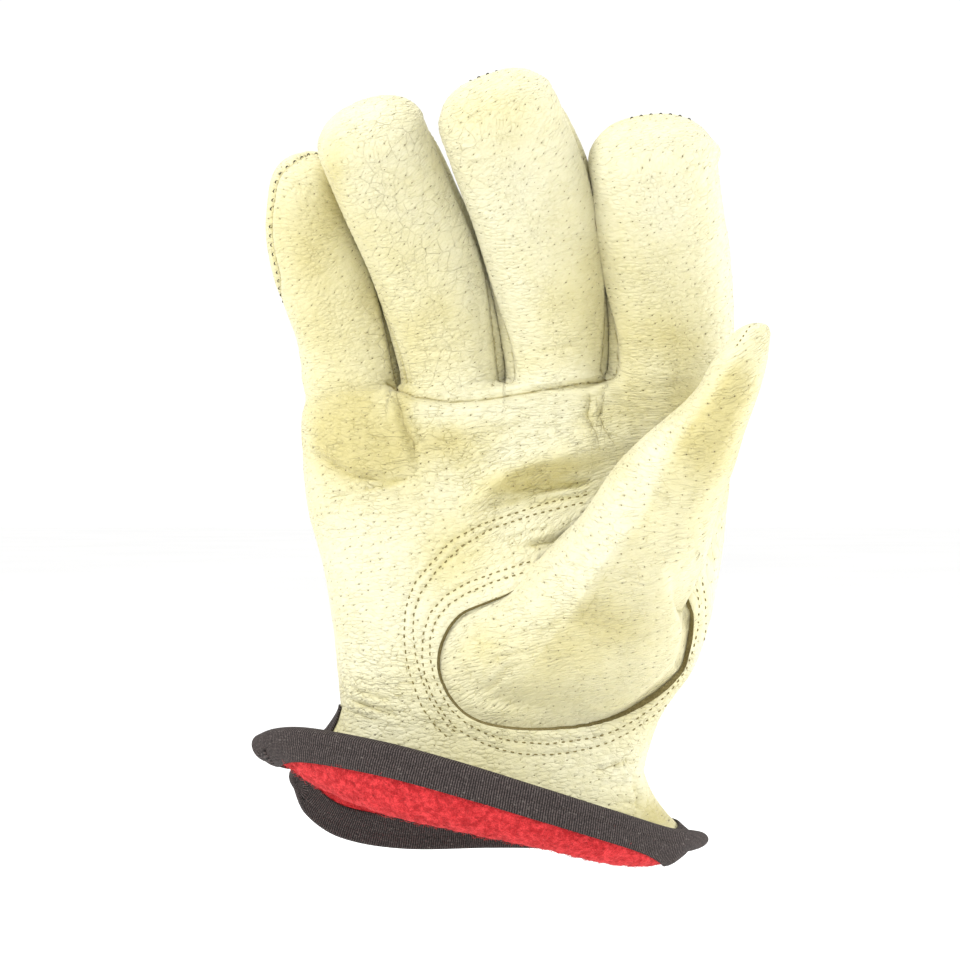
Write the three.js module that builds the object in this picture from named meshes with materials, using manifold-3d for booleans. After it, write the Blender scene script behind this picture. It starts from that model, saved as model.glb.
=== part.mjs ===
// A lined leather work glove for the right hand, standing as it does when it is worn.
// Millimetres. The palm faces -Y, the thumb's side is +X and the fingertips point to +Z.
// The origin is the middle of the cuff's opening, where the wrist goes in.
import * as THREE from 'three';
import { mergeVertices } from 'three/addons/utils/BufferGeometryUtils.js';
import Module from 'manifold-3d';

const wasm = await Module();
wasm.setup();

// Driving dimensions
const LEATHER = 1.6;
const FLEECE = 1.6;
const TAPE = 1.0;
const TAPE_WIDTH = 10;
const SEAM_GAP = 0.3;
const FORK_HALF_WIDTH = 6;
const FORK_END_BELOW_TIP = 14;
const FORK_BELOW_CROTCH = 5;
const FORK_CLEAR = 0.5;
const LITTLE_SEAM_FORWARD = 4;
const TIP_SEAM_HALF_WIDTH = 8;
const SIDE_SEAM_TOP = 70;
const FRONTS_TOP = 136;
const COLLAR_HEIGHT = 6;
const CUT_REACH = 4;
const CUFF_LEAN = 0.15;
const RIM_TUCK = 0.1;
const CUFF_START = 0.2;
const FLARE_ROWS = 3;
const FINGER_SIDES = 12;
const BODY_SIDES = 24;
const THUMB_SIDES = 16;
const DOME_STEPS = 2;
const DOME_TOP_FACET = 0.6;
const FINGER_SQUARENESS = 2.3;
const BODY_SQUARENESS = 2.5;
const TIP_SQUARENESS = 2.4;
const FAR = 150;
const FAR_UP = 250;
const FAR_DOWN = -60;

// A table's rows, each with its values under the columns' names.
function table(columns, ...rows) {
    return rows.map((row) => Object.fromEntries(columns.map((name, i) => [name, row[i]])));
}

// Fingers: the middle of each section, its half width and its half depth, from the palm to the tip.
const fingerColumns = ['x', 'y', 'z', 'wide', 'deep'];

const littleFinger = table(
    fingerColumns,
    [-37.6, 1.8, 110, 13.2, 12.0],
    [-39.3, 1.0, 127, 15.1, 13.5],
    [-42.2, -1.0, 146, 14.7, 13.5],
    [-49.4, -6.0, 166, 15.0, 13.2],
    [-52.2, -9.5, 177, 14.2, 12.8],
    [-53.2, -14.5, 187.5, 12.4, 11.5],
    [-52.0, -20.0, 197.5, 0, 0],
);

const ringFinger = table(
    fingerColumns,
    [-7.2, -1.5, 110, 14.5, 13.0],
    [-7.9, -3.5, 127, 15.8, 14.5],
    [-11.2, -8.0, 147, 16.5, 14.5],
    [-17.6, -16.5, 168.5, 17.2, 14.5],
    [-24.4, -25.5, 184.5, 17.2, 14.2],
    [-31.0, -36.0, 200, 16.8, 13.1],
    [-33.4, -42.0, 209.5, 0, 0],
);

const middleFinger = table(
    fingerColumns,
    [23.2, -4.0, 110, 14.0, 13.5],
    [23.6, -6.5, 128, 14.8, 15.0],
    [23.0, -10.8, 147.5, 16.1, 15.0],
    [18.8, -20.0, 169, 17.7, 15.0],
    [13.4, -30.5, 187, 18.9, 14.6],
    [6.6, -43.0, 205.5, 18.3, 13.4],
    [3.4, -49.0, 216.5, 0, 0],
);

const indexFinger = table(
    fingerColumns,
    [57.2, -5.5, 110, 16.6, 13.8],
    [58.4, -8.5, 127, 18.8, 15.5],
    [58.8, -12.4, 145, 18.7, 15.5],
    [57.0, -18.5, 163, 19.5, 15.5],
    [54.0, -26.5, 178.5, 19.6, 15.1],
    [51.9, -35.5, 193.5, 18.9, 14.0],
    [50.4, -42.0, 205.5, 0, 0],
);

// Thumb: lean turns each section in the picture's plane, in degrees, as the thumb crosses to the right.
const thumb = table(
    ['x', 'y', 'z', 'wide', 'deep', 'lean'],
    [21.5, -12.0, 22.5, 0, 0, 0],
    [22.5, -14.0, 30, 29.0, 11.0, 0],
    [25.0, -18.0, 44, 37.0, 17.0, 4],
    [29.0, -24.0, 59.5, 33.0, 19.0, 14],
    [36.5, -33.0, 74, 26.0, 19.0, 24],
    [45.5, -42.5, 89.5, 19.8, 18.2, 31],
    [55.4, -50.0, 105, 15.4, 17.4, 35],
    [65.8, -55.5, 119.5, 12.2, 16.3, 33],
    [74.4, -58.0, 133, 9.2, 13.8, 29],
    [79.6, -58.0, 143, 0, 0, 26],
);

// Palm and wrist: each section runs from its left to its right silhouette, with its half depth.
const body = table(
    ['leftX', 'leftZ', 'rightX', 'rightZ', 'y', 'deep'],
    [-42.8, 29.5, 50.5, 10.9, 0, 27],
    [-44.0, 38.8, 56.4, 26.4, 0, 27],
    [-45.8, 54.2, 68.3, 44.3, 0, 26],
    [-49.2, 72.8, 73.5, 63.6, 0, 25],
    [-53.6, 87.7, 76.0, 80.6, 0, 24],
    [-55.2, 102.3, 77.5, 97.7, -1, 21.5],
    [-54.9, 115.0, 77.6, 114.7, -3.5, 18.5],
    [-54.2, 121.5, 76.0, 125.5, -5, 15.8],
    [-50.0, 125.5, 71.0, 129.5, -6, 12.0],
);

// Seam across the bases of the ring and the middle finger, seen from the front.
const baseSeam = table(
    ['x', 'z'],
    [-26, 127.5],
    [-19.7, 124.6],
    [-9, 123.1],
    [1, 123.7],
    [10, 125.2],
    [24, 127.0],
    [32, 128.4],
    [41, 130.5],
);

// Cuff: the rim for each part of a turn (0 at the slit, 0.5 in front, 1 at the thumb's side, 2 at the slit
// again). drop is how far the leather falls from the wrist before it flares, sag is how far it hangs below
// the rim before it turns up to it.
const rim = table(
    ['turn', 'x', 'y', 'z', 'drop', 'sag'],
    [0, -66.5, -7, 18.5, 12, 11],
    [0.06, -60.5, -17, 22.2, 17, 16],
    [0.14, -52.0, -27, 24.0, 25, 23],
    [0.24, -38.5, -36, 23.3, 31, 29],
    [0.36, -22.0, -42.5, 20.0, 34, 32],
    [0.5, -1.0, -46, 14.0, 35, 33],
    [0.64, 19.5, -45, 7.5, 33, 31],
    [0.78, 40.0, -37, 1.0, 28, 27],
    [0.9, 56.5, -23, -4.5, 21, 19],
    [0.96, 63.5, -13, -7.5, 16, 9],
    [1, 67.5, -3, -10.5, 13, 4],
    [1.08, 65.5, 10, -13.5, 12, -2],
    [1.25, 48.0, 26, -16.5, 13, -7],
    [1.5, 5.0, 36, -17.5, 14, -9],
    [1.7, -25.0, 34, -17.0, 14, -8],
    [1.85, -43.5, 28.5, -11.5, 11, -6],
    [1.94, -53.0, 22.5, -3.0, 8, -4],
    [2, -57.0, 17, 6.5, 6, -3],
);

// A table's values at a place between its rows, on a smooth curve through them.
function readTable(rows, key, at) {
    const last = rows.length - 1;
    let k = 0;
    while (k < last - 1 && at > rows[k + 1][key]) k++;
    const before = rows[Math.max(k - 1, 0)];
    const low = rows[k];
    const high = rows[k + 1];
    const after = rows[Math.min(k + 2, last)];
    const span = high[key] - low[key];
    const t = THREE.MathUtils.clamp((at - low[key]) / span, 0, 1);
    const values = {};
    for (const name of Object.keys(low)) {
        const slopeLow = (high[name] - before[name]) / (high[key] - before[key]) * span;
        const slopeHigh = (after[name] - low[name]) / (after[key] - low[key]) * span;
        values[name] = low[name] * (1 + 2 * t) * (1 - t) ** 2 + slopeLow * t * (1 - t) ** 2
            + high[name] * t * t * (3 - 2 * t) - slopeHigh * t * t * (1 - t);
    }
    return values;
}

const vector = (row) => new THREE.Vector3(row.x, row.y, row.z);
const power = (value, exponent) => Math.sign(value) * Math.abs(value) ** exponent;

// A closed solid from its corners and its triangles.
function solid(corners, triangles) {
    const geometry = new THREE.BufferGeometry().setFromPoints(corners);
    geometry.setIndex(triangles.flat());
    return toManifold(geometry);
}

function toManifold(geometry) {
    geometry.deleteAttribute('normal');
    geometry.deleteAttribute('uv');
    const merged = mergeVertices(geometry, 1e-4);
    return new wasm.Manifold(new wasm.Mesh({
        numProp: 3,
        vertProperties: Float32Array.from(merged.attributes.position.array),
        triVerts: Uint32Array.from(merged.index.array),
    }));
}

// A solid through rings of points that turn left about its way from the first end point to the last.
function tube(first, rings, last) {
    const sides = rings[0].length;
    const end = 1 + rings.length * sides;
    const at = (ring, side) => 1 + ring * sides + (side % sides);
    const triangles = [];
    for (let side = 0; side < sides; side++) {
        triangles.push([0, at(0, side + 1), at(0, side)]);
        for (let ring = 0; ring < rings.length - 1; ring++) {
            triangles.push([at(ring, side), at(ring, side + 1), at(ring + 1, side + 1)]);
            triangles.push([at(ring, side), at(ring + 1, side + 1), at(ring + 1, side)]);
        }
        triangles.push([end, at(rings.length - 1, side), at(rings.length - 1, side + 1)]);
    }
    return solid([first, ...rings.flat(), last], triangles);
}

// A solid between two grids of points. Rows run down and columns to the right as seen on the first grid.
function between(outer, inner) {
    const rows = outer.length;
    const columns = outer[0].length;
    const out = (row, column) => row * columns + column;
    const inn = (row, column) => rows * columns + out(row, column);
    const triangles = [];
    for (let row = 0; row < rows - 1; row++) {
        for (let column = 0; column < columns - 1; column++) {
            const corners = [[row, column], [row + 1, column], [row + 1, column + 1], [row, column + 1]];
            const [a, b, c, d] = corners.map((corner) => out(...corner));
            const [e, f, g, h] = corners.map((corner) => inn(...corner));
            triangles.push([a, b, c], [a, c, d], [e, g, f], [e, h, g]);
        }
    }
    const edge = [];
    for (let row = 0; row < rows - 1; row++) edge.push([row, 0]);
    for (let column = 0; column < columns - 1; column++) edge.push([rows - 1, column]);
    for (let row = rows - 1; row > 0; row--) edge.push([row, columns - 1]);
    for (let column = columns - 1; column > 0; column--) edge.push([0, column]);
    edge.forEach((from, k) => {
        const to = edge[(k + 1) % edge.length];
        triangles.push([out(...to), out(...from), inn(...from)], [out(...to), inn(...from), inn(...to)]);
    });
    return solid([...outer.flat(), ...inner.flat()], triangles);
}

// A superellipse's points about a centre, turning from the direction across to the direction deep. The first
// and the last point lie either side of the direction across, so a seam there runs down the middle of a facet.
function ring(centre, across, deep, wide, thick, squareness, sides) {
    const points = [];
    for (let side = 0; side < sides; side++) {
        const angle = 2 * Math.PI * (side + 0.5) / sides;
        points.push(centre.clone()
            .addScaledVector(across, wide * power(Math.cos(angle), 2 / squareness))
            .addScaledVector(deep, thick * power(Math.sin(angle), 2 / squareness)));
    }
    return points;
}

// A finger's section axes: across lies as flat as its way up allows, or leans by the given angle.
function sectionAxes(rows, k) {
    const tangent = vector(rows[Math.min(k + 1, rows.length - 1)]).sub(vector(rows[Math.max(k - 1, 0)]));
    tangent.normalize();
    const across = new THREE.Vector3(1, 0, 0);
    if (rows[k].lean === undefined) {
        across.addScaledVector(tangent, -tangent.x).normalize();
    } else {
        const lean = THREE.MathUtils.degToRad(rows[k].lean);
        across.set(Math.cos(lean), 0, -Math.sin(lean));
    }
    return { across, deep: tangent.cross(across).normalize() };
}

// Rings that close a section off in a dome towards a tip.
function dome(row, axes, tip, inset, sides) {
    const rings = [];
    const base = vector(row);
    for (let step = 1; step <= DOME_STEPS; step++) {
        const rise = Math.sin(Math.PI / 2 * step / (DOME_STEPS + DOME_TOP_FACET));
        const size = (1 - rise ** TIP_SQUARENESS) ** (1 / TIP_SQUARENESS);
        const centre = base.clone().lerp(tip, rise);
        rings.push(ring(centre, axes.across, axes.deep, (row.wide - inset) * size, (row.deep - inset) * size,
            FINGER_SQUARENESS, sides));
    }
    return rings;
}

// A finger or the thumb, drawn in all round by the inset. Ends without a size are domes.
function fingerSolid(rows, inset, sides) {
    const last = rows.length - 1;
    const openStart = rows[0].wide > 0;
    const rings = [];
    let first = vector(rows[0]);
    for (let k = openStart ? 0 : 1; k < last; k++) {
        const axes = sectionAxes(rows, k);
        if (!openStart && k === 1) {
            first.addScaledVector(vector(rows[1]).sub(first).normalize(), inset);
            rings.push(...dome(rows[1], axes, first, inset, sides).reverse());
        }
        rings.push(ring(vector(rows[k]), axes.across, axes.deep, rows[k].wide - inset, rows[k].deep - inset,
            FINGER_SQUARENESS, sides));
    }
    const tip = vector(rows[last]);
    tip.addScaledVector(vector(rows[last - 1]).sub(tip).normalize(), inset);
    rings.push(...dome(rows[last - 1], sectionAxes(rows, last - 1), tip, inset, sides));
    return tube(first, rings, tip);
}

function bodyCentre(row) {
    return new THREE.Vector3((row.leftX + row.rightX) / 2, row.y, (row.leftZ + row.rightZ) / 2);
}

function bodyRing(row, inset) {
    const across = new THREE.Vector3(row.rightX - row.leftX, 0, row.rightZ - row.leftZ);
    const wide = across.length() / 2;
    return ring(bodyCentre(row), across.normalize(), new THREE.Vector3(0, 1, 0), wide - inset,
        row.deep - inset, BODY_SQUARENESS, BODY_SIDES);
}

const raised = (row, rise) => ({ ...row, leftZ: row.leftZ + rise, rightZ: row.rightZ + rise });

function bodySolid(inset, rows) {
    const last = rows[rows.length - 1];
    const top = bodyCentre(last);
    top.z -= inset;
    const rings = rows.map((row) => bodyRing(row, inset));
    rings[rings.length - 1].forEach((point) => { point.z -= inset; });
    return tube(bodyCentre(rows[0]), rings, top);
}

const fingers = [littleFinger, ringFinger, middleFinger, indexFinger];
const joinAll = (solids) => solids.reduce((sum, next) => sum.add(next));

// A short plug that opens the hand's hollow at the wrist.
function wristPlug() {
    const wrist = body[0];
    return bodySolid(LEATHER, [raised(wrist, -CUT_REACH), body[1], body[2]]);
}

const hollow = joinAll([
    bodySolid(LEATHER, body),
    wristPlug(),
    ...fingers.map((rows) => fingerSolid(rows, LEATHER, FINGER_SIDES)),
]);
const handSkin = bodySolid(0, body).subtract(hollow);
const fingerSkins = fingers.map((rows) => fingerSolid(rows, 0, FINGER_SIDES).subtract(hollow));

// A section of a finger at a height of its middle, straight between the table's rows.
function sectionAt(rows, z) {
    let k = 0;
    while (k < rows.length - 2 && z > rows[k + 1].z) k++;
    const low = sectionAxes(rows, k);
    const high = sectionAxes(rows, k + 1);
    const t = THREE.MathUtils.clamp((z - rows[k].z) / (rows[k + 1].z - rows[k].z), 0, 1);
    return {
        centre: vector(rows[k]).lerp(vector(rows[k + 1]), t),
        across: low.across.lerp(high.across, t).normalize(),
        deep: low.deep.lerp(high.deep, t).normalize(),
        wide: THREE.MathUtils.lerp(rows[k].wide, rows[k + 1].wide, t),
    };
}

const edgeOf = (section, side, beyond) =>
    section.centre.clone().addScaledVector(section.across, side * (section.wide + beyond));

// The seams between front and back run up the hand's sides and through the middle of each finger.
// The little finger's outer seam lies further forward.
function partingGrid(shift) {
    const levels = littleFinger.length - 1;
    const rows = [];
    for (let level = levels; level >= 0; level--) {
        const sections = fingers.map((finger) => {
            const section = sectionAt(finger, finger[level].z);
            section.wide = Math.max(section.wide, TIP_SEAM_HALF_WIDTH);
            return section;
        });
        const forward = LITTLE_SEAM_FORWARD * THREE.MathUtils.smoothstep(littleFinger[level].z, 110, 150);
        const left = edgeOf(sections[0], -1, 0).add(new THREE.Vector3(0, -forward, 0));
        const right = edgeOf(sections[3], 1, 0);
        const inner = sections.flatMap((section, k) => {
            if (k === 0) return [section.centre];
            return [edgeOf(sections[k - 1], 1, 0).lerp(edgeOf(section, -1, 0), 0.5), section.centre];
        });
        rows.push([left.clone().setX(-FAR), left, ...inner, right, right.clone().setX(FAR)]);
    }
    const above = rows[0].map((point) => point.clone().setZ(FAR_UP));
    const sides = rows[rows.length - 1].map((point) => new THREE.Vector3(point.x, 0, SIDE_SEAM_TOP));
    const below = sides.map((point) => point.clone().setZ(FAR_DOWN));
    const grid = [above, ...rows, sides, below];
    return grid.map((row) => row.map((point) => point.clone().add(new THREE.Vector3(0, shift, 0))));
}

const flatGrid = (y) => partingGrid(0).map((row) => row.map((point) => point.clone().setY(y)));
const frontHalf = between(flatGrid(-FAR), partingGrid(-SEAM_GAP / 2));
const backHalf = between(partingGrid(SEAM_GAP / 2), flatGrid(FAR));

// Side strips: crotch is the height of the skin between the two fingers.
const forks = table(
    ['name', 'left', 'right', 'crotch'],
    ['fork_little_ring', 0, 1, 127],
    ['fork_ring_middle', 1, 2, 128.5],
    ['fork_middle_index', 2, 3, 130.5],
);

// The space of the strip along one side of a finger, grown by the margin.
function sideSpace(finger, side, crotch, margin) {
    const rows = fingers[finger];
    const top = rows[rows.length - 1].z - FORK_END_BELOW_TIP + margin;
    const bottom = crotch - FORK_BELOW_CROTCH - margin;
    const heights = [top, ...rows.map((row) => row.z).filter((z) => z > bottom && z < top).reverse(), bottom];
    const grid = (shift) => heights.map((z) => {
        const section = sectionAt(rows, z);
        const line = [section.centre, edgeOf(section, side, FORK_CLEAR + margin)];
        if (side < 0) line.reverse();
        return line.map((point) => point.clone().addScaledVector(section.deep, shift));
    });
    return between(grid(-FORK_HALF_WIDTH - margin), grid(FORK_HALF_WIDTH + margin));
}

// The space of the web that joins a strip's two sides at the crotch, grown by the margin.
function webSpace(fork, margin) {
    const ends = [fork.left, fork.right].map((finger) => sectionAt(fingers[finger], fork.crotch).centre);
    const reach = FORK_BELOW_CROTCH + margin;
    const grid = (shift) => [fork.crotch + reach, fork.crotch - reach].map((z) =>
        ends.map((point) => new THREE.Vector3(point.x, point.y + shift, z)));
    return between(grid(-FORK_HALF_WIDTH - margin), grid(FORK_HALF_WIDTH + margin));
}

// A strip's whole place: what it takes of its left finger, of its right finger and of the hand.
function forkSpaces(fork, margin) {
    const web = webSpace(fork, margin);
    const left = sideSpace(fork.left, 1, fork.crotch, margin).add(web);
    const right = sideSpace(fork.right, -1, fork.crotch, margin).add(web);
    return { left, right, hand: left.add(right) };
}

function makeFork(fork) {
    const spaces = forkSpaces(fork, 0);
    return joinAll([
        fingerSkins[fork.left].intersect(spaces.left),
        fingerSkins[fork.right].intersect(spaces.right),
        handSkin.intersect(spaces.hand),
    ]);
}

// The skins with the side strips' places left open.
let openHand = handSkin;
const openFingers = [...fingerSkins];
for (const fork of forks) {
    const spaces = forkSpaces(fork, SEAM_GAP);
    openHand = openHand.subtract(spaces.hand);
    openFingers[fork.left] = openFingers[fork.left].subtract(spaces.left);
    openFingers[fork.right] = openFingers[fork.right].subtract(spaces.right);
}

// The space in front of the two middle fingers above their base seam, grown by the margin, and to its sides
// by the reach.
function frontsSpace(margin, reach, top) {
    const seam = baseSeam.map((point) => new THREE.Vector2(point.x, point.z - margin));
    const first = seam[0];
    const last = seam[seam.length - 1];
    const left = first.x - margin - reach;
    const right = last.x + margin + reach;
    const corners = [[right, last.y], [right, top], [left, top], [left, first.y]];
    const outline = [...seam, ...corners.map(([x, z]) => new THREE.Vector2(x, z))];
    const geometry = new THREE.ExtrudeGeometry(new THREE.Shape(outline), { depth: FAR, bevelEnabled: false });
    geometry.rotateX(Math.PI / 2);
    return toManifold(geometry);
}

// The cuff's columns stand at the wrist's corners and at the slit and the side seam between two of them.
const cuffTurns = [];
for (let side = 0; side < BODY_SIDES; side++) {
    const corner = side % (BODY_SIDES / 2);
    if (corner < 2 || corner === BODY_SIDES / 2 - 1) cuffTurns.push(2 * side / BODY_SIDES);
    cuffTurns.push(2 * (side + 0.5) / BODY_SIDES);
}
cuffTurns.push(2);

// A ring's point at a turn, counted from its left end through the front.
function pointOnRing(points, turn) {
    const place = points.length * (turn + 1) / 2 - 0.5;
    const side = Math.floor(place);
    const next = points[(side + 1) % points.length];
    return points[side % points.length].clone().lerp(next, place - side);
}

// The cuff's surface: a grid that falls from the wrist, flares and, in front, turns up to the rim.
function cuffGrid() {
    const wristRing = bodyRing(body[0], 0);
    const secondRing = bodyRing(body[1], 0);
    const columns = [];
    for (const turn of cuffTurns) {
        const start = pointOnRing(wristRing, turn);
        const edge = readTable(rim, 'turn', turn);
        const end = vector(edge);
        const outward = end.clone().sub(start).setZ(0).normalize();
        const curve = new THREE.CubicBezierCurve3(
            start,
            start.clone().add(new THREE.Vector3(0, 0, -edge.drop)).addScaledVector(outward, edge.drop * CUFF_LEAN),
            end.clone().add(new THREE.Vector3(0, 0, -edge.sag)).addScaledVector(outward, -edge.drop * RIM_TUCK),
            end,
        );
        const length = curve.getLength();
        const stops = [];
        for (let row = 0; row < FLARE_ROWS; row++) stops.push((length - TAPE_WIDTH) * row / FLARE_ROWS);
        stops.push(length - TAPE_WIDTH, length - TAPE_WIDTH / 2, length);
        const points = stops.map((stop) => curve.getPointAt(stop / length));
        columns.push([start.clone().lerp(pointOnRing(secondRing, turn), CUFF_START), ...points]);
    }
    return columns[0].map((_, row) => columns.map((column) => column[row]));
}

// The outward normals of a grid, and at its two side edges and its rim the directions that leave it.
function gridNormals(grid) {
    const lastRow = grid.length - 1;
    const lastColumn = grid[0].length - 1;
    return grid.map((row, r) => row.map((_, c) => {
        const down = grid[Math.min(r + 1, lastRow)][c].clone().sub(grid[Math.max(r - 1, 0)][c]);
        const right = grid[r][Math.min(c + 1, lastColumn)].clone().sub(grid[r][Math.max(c - 1, 0)]);
        return down.cross(right).normalize();
    }));
}

const cuff = cuffGrid();
const cuffNormals = gridNormals(cuff);

// Part of the cuff's grid, set off along its normals. grow moves the left, right and rim edges outwards.
function cuffPart(firstRow, lastRow, firstColumn, lastColumn, offset, grow) {
    const rows = [];
    for (let r = firstRow; r <= lastRow; r++) {
        const row = [];
        for (let c = firstColumn; c <= lastColumn; c++) {
            const point = cuff[r][c].clone();
            if (c === firstColumn) point.addScaledVector(awayFrom(cuff[r][c + 1], point), grow.left);
            if (c === lastColumn) point.addScaledVector(awayFrom(cuff[r][c - 1], cuff[r][c]), grow.right);
            if (r === lastRow) point.addScaledVector(awayFrom(cuff[r - 1][c], cuff[r][c]), grow.rim);
            if (r === firstRow) point.addScaledVector(awayFrom(cuff[r + 1][c], cuff[r][c]), grow.top);
            row.push(point.addScaledVector(cuffNormals[r][c], offset));
        }
        rows.push(row);
    }
    return rows;
}

const awayFrom = (neighbour, point) => point.clone().sub(neighbour).normalize();

function cuffSheet(rowsAndColumns, outerOffset, innerOffset, grow) {
    return between(
        cuffPart(...rowsAndColumns, outerOffset, grow),
        cuffPart(...rowsAndColumns, innerOffset, grow),
    );
}

const CUFF_ROWS = cuff.length - 1;
const CUFF_COLUMNS = cuffTurns.length - 1;
const SIDE_SEAM_COLUMN = CUFF_COLUMNS / 2;
const TAPE_ROWS = 2;
const SLIT_TAPE_ROW = 2;
const liningTop = LEATHER + SEAM_GAP;
const liningBottom = liningTop + FLEECE;

function leatherFlap(firstColumn, lastColumn) {
    const grow = { left: -SEAM_GAP / 2, right: -SEAM_GAP / 2, rim: 0, top: 0 };
    return cuffSheet([0, CUFF_ROWS, firstColumn, lastColumn], 0, -LEATHER, grow);
}

// The fleece under the whole cuff and a short collar inside the wrist that joins its two ends.
function makeLining() {
    const grow = { left: -SEAM_GAP, right: -SEAM_GAP, rim: 0, top: 0 };
    const sheet = cuffSheet([1, CUFF_ROWS, 0, CUFF_COLUMNS], -liningTop, -liningBottom, grow);
    const collarSolid = (inset, low, high) => bodySolid(inset, [raised(body[0], low), raised(body[0], high)]);
    const collar = collarSolid(liningTop, -FLEECE / 2, COLLAR_HEIGHT)
        .subtract(collarSolid(liningBottom, -CUT_REACH, COLLAR_HEIGHT + CUT_REACH));
    return sheet.add(collar);
}

// The tape folded over the rim and up both edges of the slit.
function makeBinding() {
    const reach = SEAM_GAP + TAPE;
    const outside = { left: reach, right: reach, rim: reach, top: 0 };
    const firstTapeRow = CUFF_ROWS - TAPE_ROWS;
    const cover = (region, grow) => cuffSheet(region, reach, -liningBottom - reach, grow);
    const hem = cover([firstTapeRow, CUFF_ROWS, 0, CUFF_COLUMNS], outside);
    const frontEdge = cover([SLIT_TAPE_ROW, CUFF_ROWS, 0, 1], { ...outside, right: 0 });
    const backEdge = cover([SLIT_TAPE_ROW, CUFF_ROWS, CUFF_COLUMNS - 1, CUFF_COLUMNS], { ...outside, left: 0 });
    const inside = { left: SEAM_GAP, right: SEAM_GAP, rim: SEAM_GAP, top: 0 };
    const room = cuffSheet([0, CUFF_ROWS, 0, CUFF_COLUMNS], SEAM_GAP, -liningBottom - SEAM_GAP, inside);
    return joinAll([hem, frontEdge, backEdge]).subtract(room);
}

// The thumb stands on the palm with a seam's gap, and its hollow opens into the palm's.
function makeThumb() {
    const shell = fingerSolid(thumb, 0, THUMB_SIDES).subtract(fingerSolid(thumb, LEATHER, THUMB_SIDES));
    return shell.subtract(bodySolid(-SEAM_GAP, body));
}

const [littleSkin, ringSkin, middleSkin, indexSkin] = openFingers;

// The palm runs on into the fronts of the two outer fingers, and the thumb's hollow passes through it.
function makePalm() {
    return joinAll([openHand.subtract(frontsSpace(SEAM_GAP / 2, 0, FRONTS_TOP)), littleSkin, indexSkin])
        .intersect(frontHalf)
        .add(leatherFlap(0, SIDE_SEAM_COLUMN))
        .subtract(fingerSolid(thumb, LEATHER, THUMB_SIDES));
}

function makeFingerFronts() {
    const strip = openHand.intersect(frontsSpace(-SEAM_GAP / 2, 0, FRONTS_TOP));
    const pads = ringSkin.add(middleSkin).intersect(frontsSpace(-SEAM_GAP / 2, FAR, FAR_UP));
    return strip.add(pads).intersect(frontHalf);
}

function makeBack() {
    return joinAll([openHand, ...openFingers]).intersect(backHalf).add(leatherFlap(SIDE_SEAM_COLUMN, CUFF_COLUMNS));
}

const leather = { color: 0xf0ebc2, roughness: 0.72, metalness: 0 };
const redFleece = { color: 0xd8353f, roughness: 1, metalness: 0 };
const blackTwill = { color: 0x35302d, roughness: 0.85, metalness: 0 };

const glove = new THREE.Group();

function addPiece(name, manifold, finish) {
    const mesh = manifold.getMesh();
    const geometry = new THREE.BufferGeometry();
    geometry.setAttribute('position', new THREE.BufferAttribute(mesh.vertProperties, mesh.numProp));
    geometry.setIndex(new THREE.BufferAttribute(mesh.triVerts, 1));
    geometry.computeVertexNormals();
    const piece = new THREE.Mesh(geometry, new THREE.MeshStandardMaterial(finish));
    piece.name = name;
    glove.add(piece);
}

addPiece('palm_panel', makePalm(), leather);
addPiece('back_panel', makeBack(), leather);
addPiece('finger_fronts', makeFingerFronts(), leather);
addPiece('thumb', makeThumb(), leather);
for (const fork of forks) addPiece(fork.name, makeFork(fork), leather);
addPiece('lining', makeLining(), redFleece);
addPiece('cuff_binding', makeBinding(), blackTwill);

export default glove;
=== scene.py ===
import math

import bpy
import numpy as np
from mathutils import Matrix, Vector
from mathutils.bvhtree import BVHTree


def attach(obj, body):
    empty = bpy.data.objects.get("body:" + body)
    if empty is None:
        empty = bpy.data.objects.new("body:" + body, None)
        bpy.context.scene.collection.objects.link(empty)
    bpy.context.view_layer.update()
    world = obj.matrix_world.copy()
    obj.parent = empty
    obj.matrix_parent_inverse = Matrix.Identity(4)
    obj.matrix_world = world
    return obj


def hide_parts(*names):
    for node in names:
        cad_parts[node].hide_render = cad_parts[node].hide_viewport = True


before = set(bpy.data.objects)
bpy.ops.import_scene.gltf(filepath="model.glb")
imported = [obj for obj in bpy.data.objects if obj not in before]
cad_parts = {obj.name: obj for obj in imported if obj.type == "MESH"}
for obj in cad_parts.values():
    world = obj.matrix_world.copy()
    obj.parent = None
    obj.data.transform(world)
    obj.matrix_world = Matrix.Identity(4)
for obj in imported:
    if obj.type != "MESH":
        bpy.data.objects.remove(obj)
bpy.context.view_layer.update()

# Camera. The glove stands upright with its palm to the viewer and is seen straight on, from about 0.9 m.
# Sizes are millimetres in the glove's own frame until a piece's mesh is made, and only the lamps' are metres.
CAMERA_AWAY = 900.0
CAMERA_HEIGHT = 99.2
MM_PER_PIXEL = 0.31
PICTURE = 960
SENSOR = 36.0
MM = 0.001

camera = bpy.data.objects.new("camera", bpy.data.cameras.new("camera"))
bpy.context.scene.collection.objects.link(camera)
camera.data.sensor_width = SENSOR
camera.data.lens = SENSOR * CAMERA_AWAY / (MM_PER_PIXEL * PICTURE)
camera.location = (0, -CAMERA_AWAY * MM, CAMERA_HEIGHT * MM)
camera.rotation_euler = (math.pi / 2, 0, 0)
bpy.context.scene.camera = camera


def in_picture(points):
    """Where points of the glove lie in the square front view, in its pixels from the upper left corner."""
    scale = CAMERA_AWAY / (CAMERA_AWAY + points[:, 1]) / MM_PER_PIXEL
    across = PICTURE / 2 + points[:, 0] * scale
    down = PICTURE / 2 - (points[:, 2] - CAMERA_HEIGHT) * scale
    return np.stack([across, down], 1)


# Light and floor. A bright white room with large soft lamps at both sides and above, so that the leather's
# edges glow, and a plain pale floor just under the picture.
ROOM_BRIGHTNESS = 1.05
FLOOR_LEVEL = -62.0
FLOOR_REACH = 9000.0

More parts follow.
